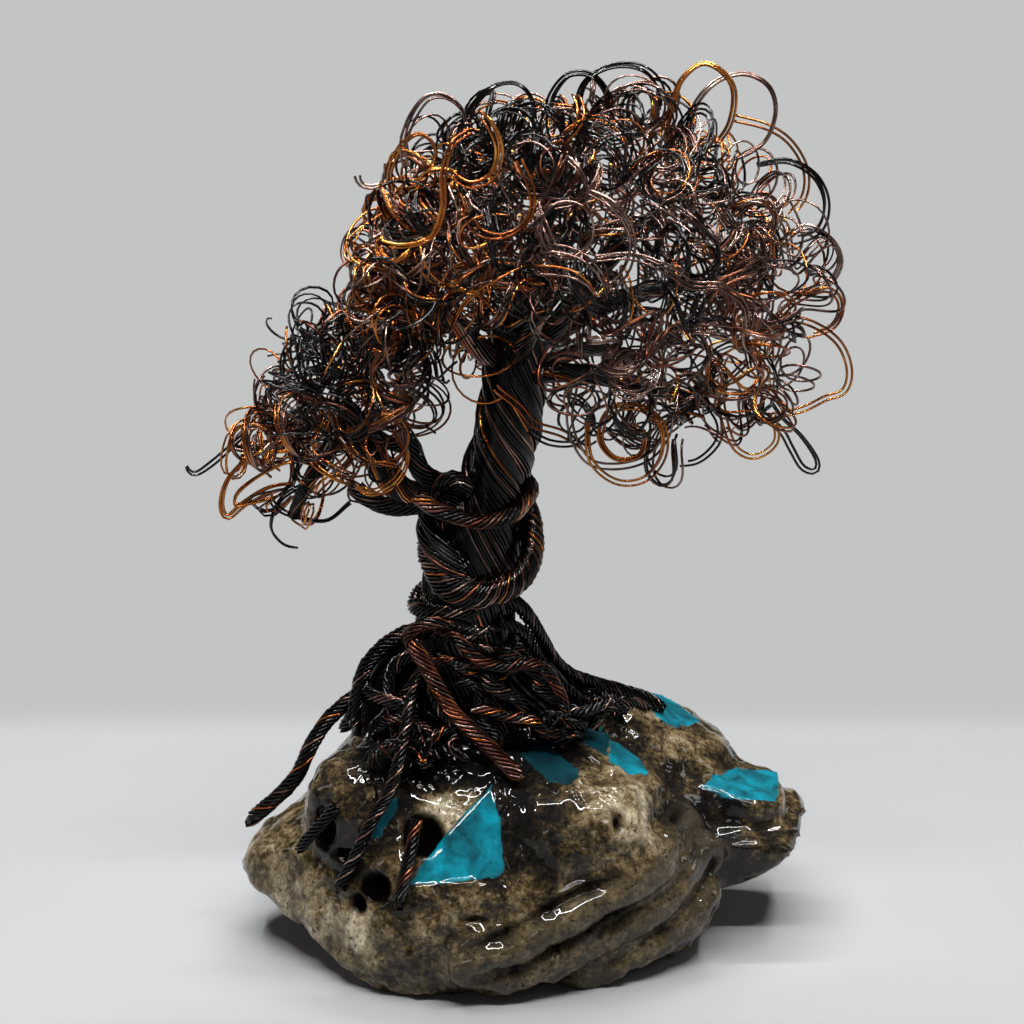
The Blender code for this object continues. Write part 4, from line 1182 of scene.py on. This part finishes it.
# %% Curls that stand out on their own
# Each strand: number of wires, which colour, and the points that it passes through.
STRANDS = (
    (3, 1, ((-26, -8, 214), (-27, -8, 220), (-25, -8, 227), (-21, -8, 232), (-16, -8, 232),
            (-12, -8, 228), (-11, -8, 221))),
    (2, 2, ((-30, -8, 206), (-31, -8, 213), (-28, -8, 220), (-23, -8, 223), (-19, -8, 219),
            (-21, -8, 212))),
    (3, 0, ((-14, -6, 214), (-13, -6, 222), (-10, -6, 229), (-5, -6, 234), (1, -6, 235),
            (5, -6, 231), (6, -6, 223))),
    (3, 0, ((9, -4, 226), (10, -4, 232), (14, -4, 237), (20, -4, 237), (24, -4, 232), (25, -4, 224))),
    (3, 0, ((16, -4, 228), (18, -4, 235), (24, -4, 239), (31, -4, 239), (36, -4, 235), (38, -4, 227))),
    (3, 2, ((38, -6, 222), (40, -6, 230), (42, -6, 236), (47, -6, 240), (52, -6, 238), (55, -6, 233),
            (54, -6, 225), (50, -6, 219))),
    (3, 1, ((44, -4, 220), (46, -4, 229), (51, -4, 235), (58, -4, 237), (64, -4, 234), (66, -4, 228),
            (64, -4, 221), (59, -4, 217), (52, -4, 215))),
    (2, 2, ((56, 0, 226), (64, 0, 224), (70, 0, 220), (74, 0, 213), (74, 0, 206), (70, 0, 200))),
    (3, 0, ((62, 0, 214), (70, 0, 215), (77, 0, 211), (80, 0, 204), (78, 0, 197), (70, 0, 194))),
    (3, 1, ((66, 0, 191), (74, 0, 198), (81, 0, 195), (84, 0, 189), (81, 0, 183), (73, 0, 180))),
    (3, 2, ((66, 0, 172), (73, 0, 179), (81, 0, 182), (85, 0, 178), (83, 0, 172), (75, 0, 169))),
    (2, 2, ((68, -4, 176), (77, -4, 174), (84, -4, 169), (87, -4, 162), (86, -4, 156), (81, -4, 154),
            (75, -4, 151), (66, -4, 149), (58, -4, 150))),
    (2, 0, ((64, -6, 151), (70, -6, 146), (73, -6, 141), (76, -6, 136), (79, -6, 135), (79, -6, 138),
            (75, -6, 144), (70, -6, 149), (66, -6, 155))),
    (2, 0, ((41, -14, 160), (48, -14, 157), (53, -14, 151), (53, -14, 145), (48, -14, 140),
            (42, -14, 139))),
    (2, 2, ((53, -14, 160), (55, -14, 150), (58, -14, 143), (63, -14, 141), (68, -14, 145),
            (67, -14, 153))),
    (2, 1, ((60, -10, 165), (53, -10, 158), (45, -10, 155), (39, -10, 148), (36, -10, 142),
            (30, -10, 141))),
    (3, 2, ((19, -30, 155), (20, -30, 145), (26, -30, 139.5), (33, -30, 140), (37.5, -30, 146),
            (37, -30, 154), (31, -30, 158.5), (24, -30, 157), (22, -30, 150), (26, -30, 145),
            (32, -30, 146), (33, -30, 152), (29, -30, 154))),
    (2, 1, ((16, -26, 163), (15, -26, 153), (19, -26, 144), (26, -26, 142), (34, -26, 144),
            (39, -26, 150), (40, -26, 158))),
    (2, 0, ((4, -14, 148), (10, -14, 145), (17, -14, 145), (21, -14, 150), (18, -14, 156),
            (11, -14, 158))),
    (2, 2, ((-4, -16, 160), (2, -16, 155), (6, -16, 150), (13, -16, 147), (20, -16, 142))),
    (1, 1, ((6, -47, 206), (9, -47, 200.5), (14, -47, 199.5), (18.5, -47, 203), (19, -47, 208),
            (16, -47, 212), (11, -47, 212.5), (7.5, -47, 209.5), (7, -47, 204), (11, -47, 200),
            (16, -46.6, 200.5))),
    (3, 2, ((-10, -42, 229), (-14, -45, 226), (-16, -45, 219), (-16, -45, 211), (-19, -45, 204),
            (-26, -45, 202), (-33, -42, 203))),
    (3, 2, ((-15, -40, 219), (-10, -40, 216), (-5, -40, 218), (-3, -40, 224), (-5, -40, 230),
            (-9, -38, 234))),
    (2, 2, ((2, -42, 222), (5, -43, 215), (4, -43, 208), (-2, -43, 204), (-8, -43, 205),
            (-11, -43, 210))),
    (3, 1, ((18, -44, 215), (24, -46, 212), (28, -46, 205), (27, -46, 197), (22, -44, 190))),
    (3, 1, ((20, -44, 199), (28, -46, 200), (36, -46, 197), (43, -44, 192), (50, -42, 191),
            (56, -40, 186), (57, -38, 178))),
    (2, 1, ((-31, -5, 215), (-31, -5, 211), (-34, -5, 209), (-38, -5, 210), (-39, -5, 214))),
    (2, 0, ((-62, -4, 148), (-68, -4, 145), (-74, -4, 140), (-79, -4, 136), (-83, -4, 133.5),
            (-85, -4, 135), (-84.5, -4, 137.5))),
    (3, 2, ((-50, -12, 146), (-58, -12, 142), (-66, -12, 141), (-73, -12, 135), (-75.5, -12, 128),
            (-74, -12, 124), (-69, -12, 128), (-62, -12, 132), (-53, -12, 133))),
    (2, 2, ((-48, -12, 137), (-56, -12, 139), (-64, -12, 136), (-71, -12, 131), (-72, -12, 127),
            (-66, -12, 128), (-58, -12, 130))),
    (2, 0, ((-52, -10, 133), (-60, -10, 128), (-63, -10, 121), (-60, -10, 116), (-55, -10, 114.5))),
    (2, 0, ((-42, -12, 128), (-48, -12, 123), (-55, -12, 124), (-61, -12, 127), (-63, -12, 132))),
    (3, 2, ((-26, -14, 158), (-30, -16, 150), (-27, -16, 142), (-30, -16, 135), (-37, -16, 132),
            (-42, -14, 136))),
    (2, 1, ((-22, -10, 170), (-27, -12, 163), (-25, -12, 155), (-29, -12, 147), (-26, -12, 140))),
)
STRAND_GAP = 1.0            # between the wires of one strand, about


def strand(wires, kind, points):
    """A few wires side by side along one set line, a little nearer and farther apart on the way."""
    line = through(points, 1.1)
    sides, ups = frames(line)
    share = np.linspace(0, 1, len(line))
    made = []
    for number in range(wires):
        turn = 2 * np.pi * number / wires + random.uniform(0, 1)
        away = STRAND_GAP * (0.7 + 0.5 * np.sin(share * random.uniform(3, 7) + turn))
        away *= 0 if wires == 1 else 1
        points = line + (sides * np.cos(turn) + ups * np.sin(turn)) * away[:, None]
        keep = int(len(line) * random.uniform(0.9, 1.0))
        made.append((points[:keep], CURL_WIRE * random.uniform(0.94, 1.04), kind))
    return made


strands = [wire for wires, kind, points in STRANDS for wire in strand(wires, kind, points)]
print("strands:", len(STRANDS), "of", len(strands), "wires")

# %% Crown pieces, one for each wire colour
# Which packed locks each part of the crown stands for, by a word in their names.
STANDS_FOR = {
    "shoulder": ("shoulder", "back_left"),
    "cluster": ("lock_left",),
    "fringe": ("right_low", "right_under", "back_low"),
}
taken = set()
for name in ("shoulder", "cluster", "fringe", "dome"):
    nodes = [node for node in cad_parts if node.startswith("lock_") and node not in taken
             and (name == "dome" or any(word in node for word in STANDS_FOR[name]))]
    taken.update(nodes)
    for kind, slot in enumerate(SLOTS):
        these = [wire for wire in crown[name] if min(wire[2], 2) == kind]
        piece = add_wires(f"crown_{name}_{slot}", these, nodes if kind == 0 else (), CURL_SECTION)
        print(piece.name, len(these), "wires,", made_triangles[-1], "triangles",
              nodes if kind == 0 else "")
for kind, slot in enumerate(SLOTS):
    these = [wire for wire in strands if wire[2] == kind]
    piece = add_wires(f"crown_strands_{slot}", these, (), CURL_SECTION)
    print(piece.name, len(these), "wires,", made_triangles[-1], "triangles")

# %% Small curls at the foot
# Ends of thin wire are tucked in and curled up among the roots: where they lie, and how many.
TANGLES = (((-24, -14, 63), 5, (10, 4, 4)), ((8, -11, 63), 4, (9, 4, 3)),
           ((-31, -24, 58), 3, (3, 3, 4)), ((20, 4, 62), 4, (8, 6, 3)))
tangle = []
for centre, count, size in TANGLES:
    for _ in range(count):
        place = np.array(centre) + random.normal(0, 0.6, 3) * size
        away = random.normal(0, 1, 3)
        away *= random.uniform(4, 8) / np.linalg.norm(away)
        tangle += lock(place - away, place + (0, 0, 2), place + away, random.uniform(1.4, 3.2),
                       random.uniform(1.2, 2.4), random.randint(1, 4), (0.96, 0.02, 0.01, 0.01))
lengths = [len(points) for points, _, _ in tangle]
clear = keep_clear(np.concatenate([points for points, _, _ in tangle]), CURL_WIRE, 0.1)
clear = np.split(clear, np.cumsum(lengths)[:-1])
tangle = [(points, radius, kind) for points, (_, radius, kind) in zip(clear, tangle)]
add_wires("foot_tangle_wires", tangle, (), CURL_SECTION)
print("foot tangle:", len(tangle), "wires,", made_triangles[-1], "triangles")
print("all wires:", sum(made_triangles), "triangles")

# %% Finish
bpy.data.objects.remove(ROPE_SECTION)
bpy.data.objects.remove(CURL_SECTION)
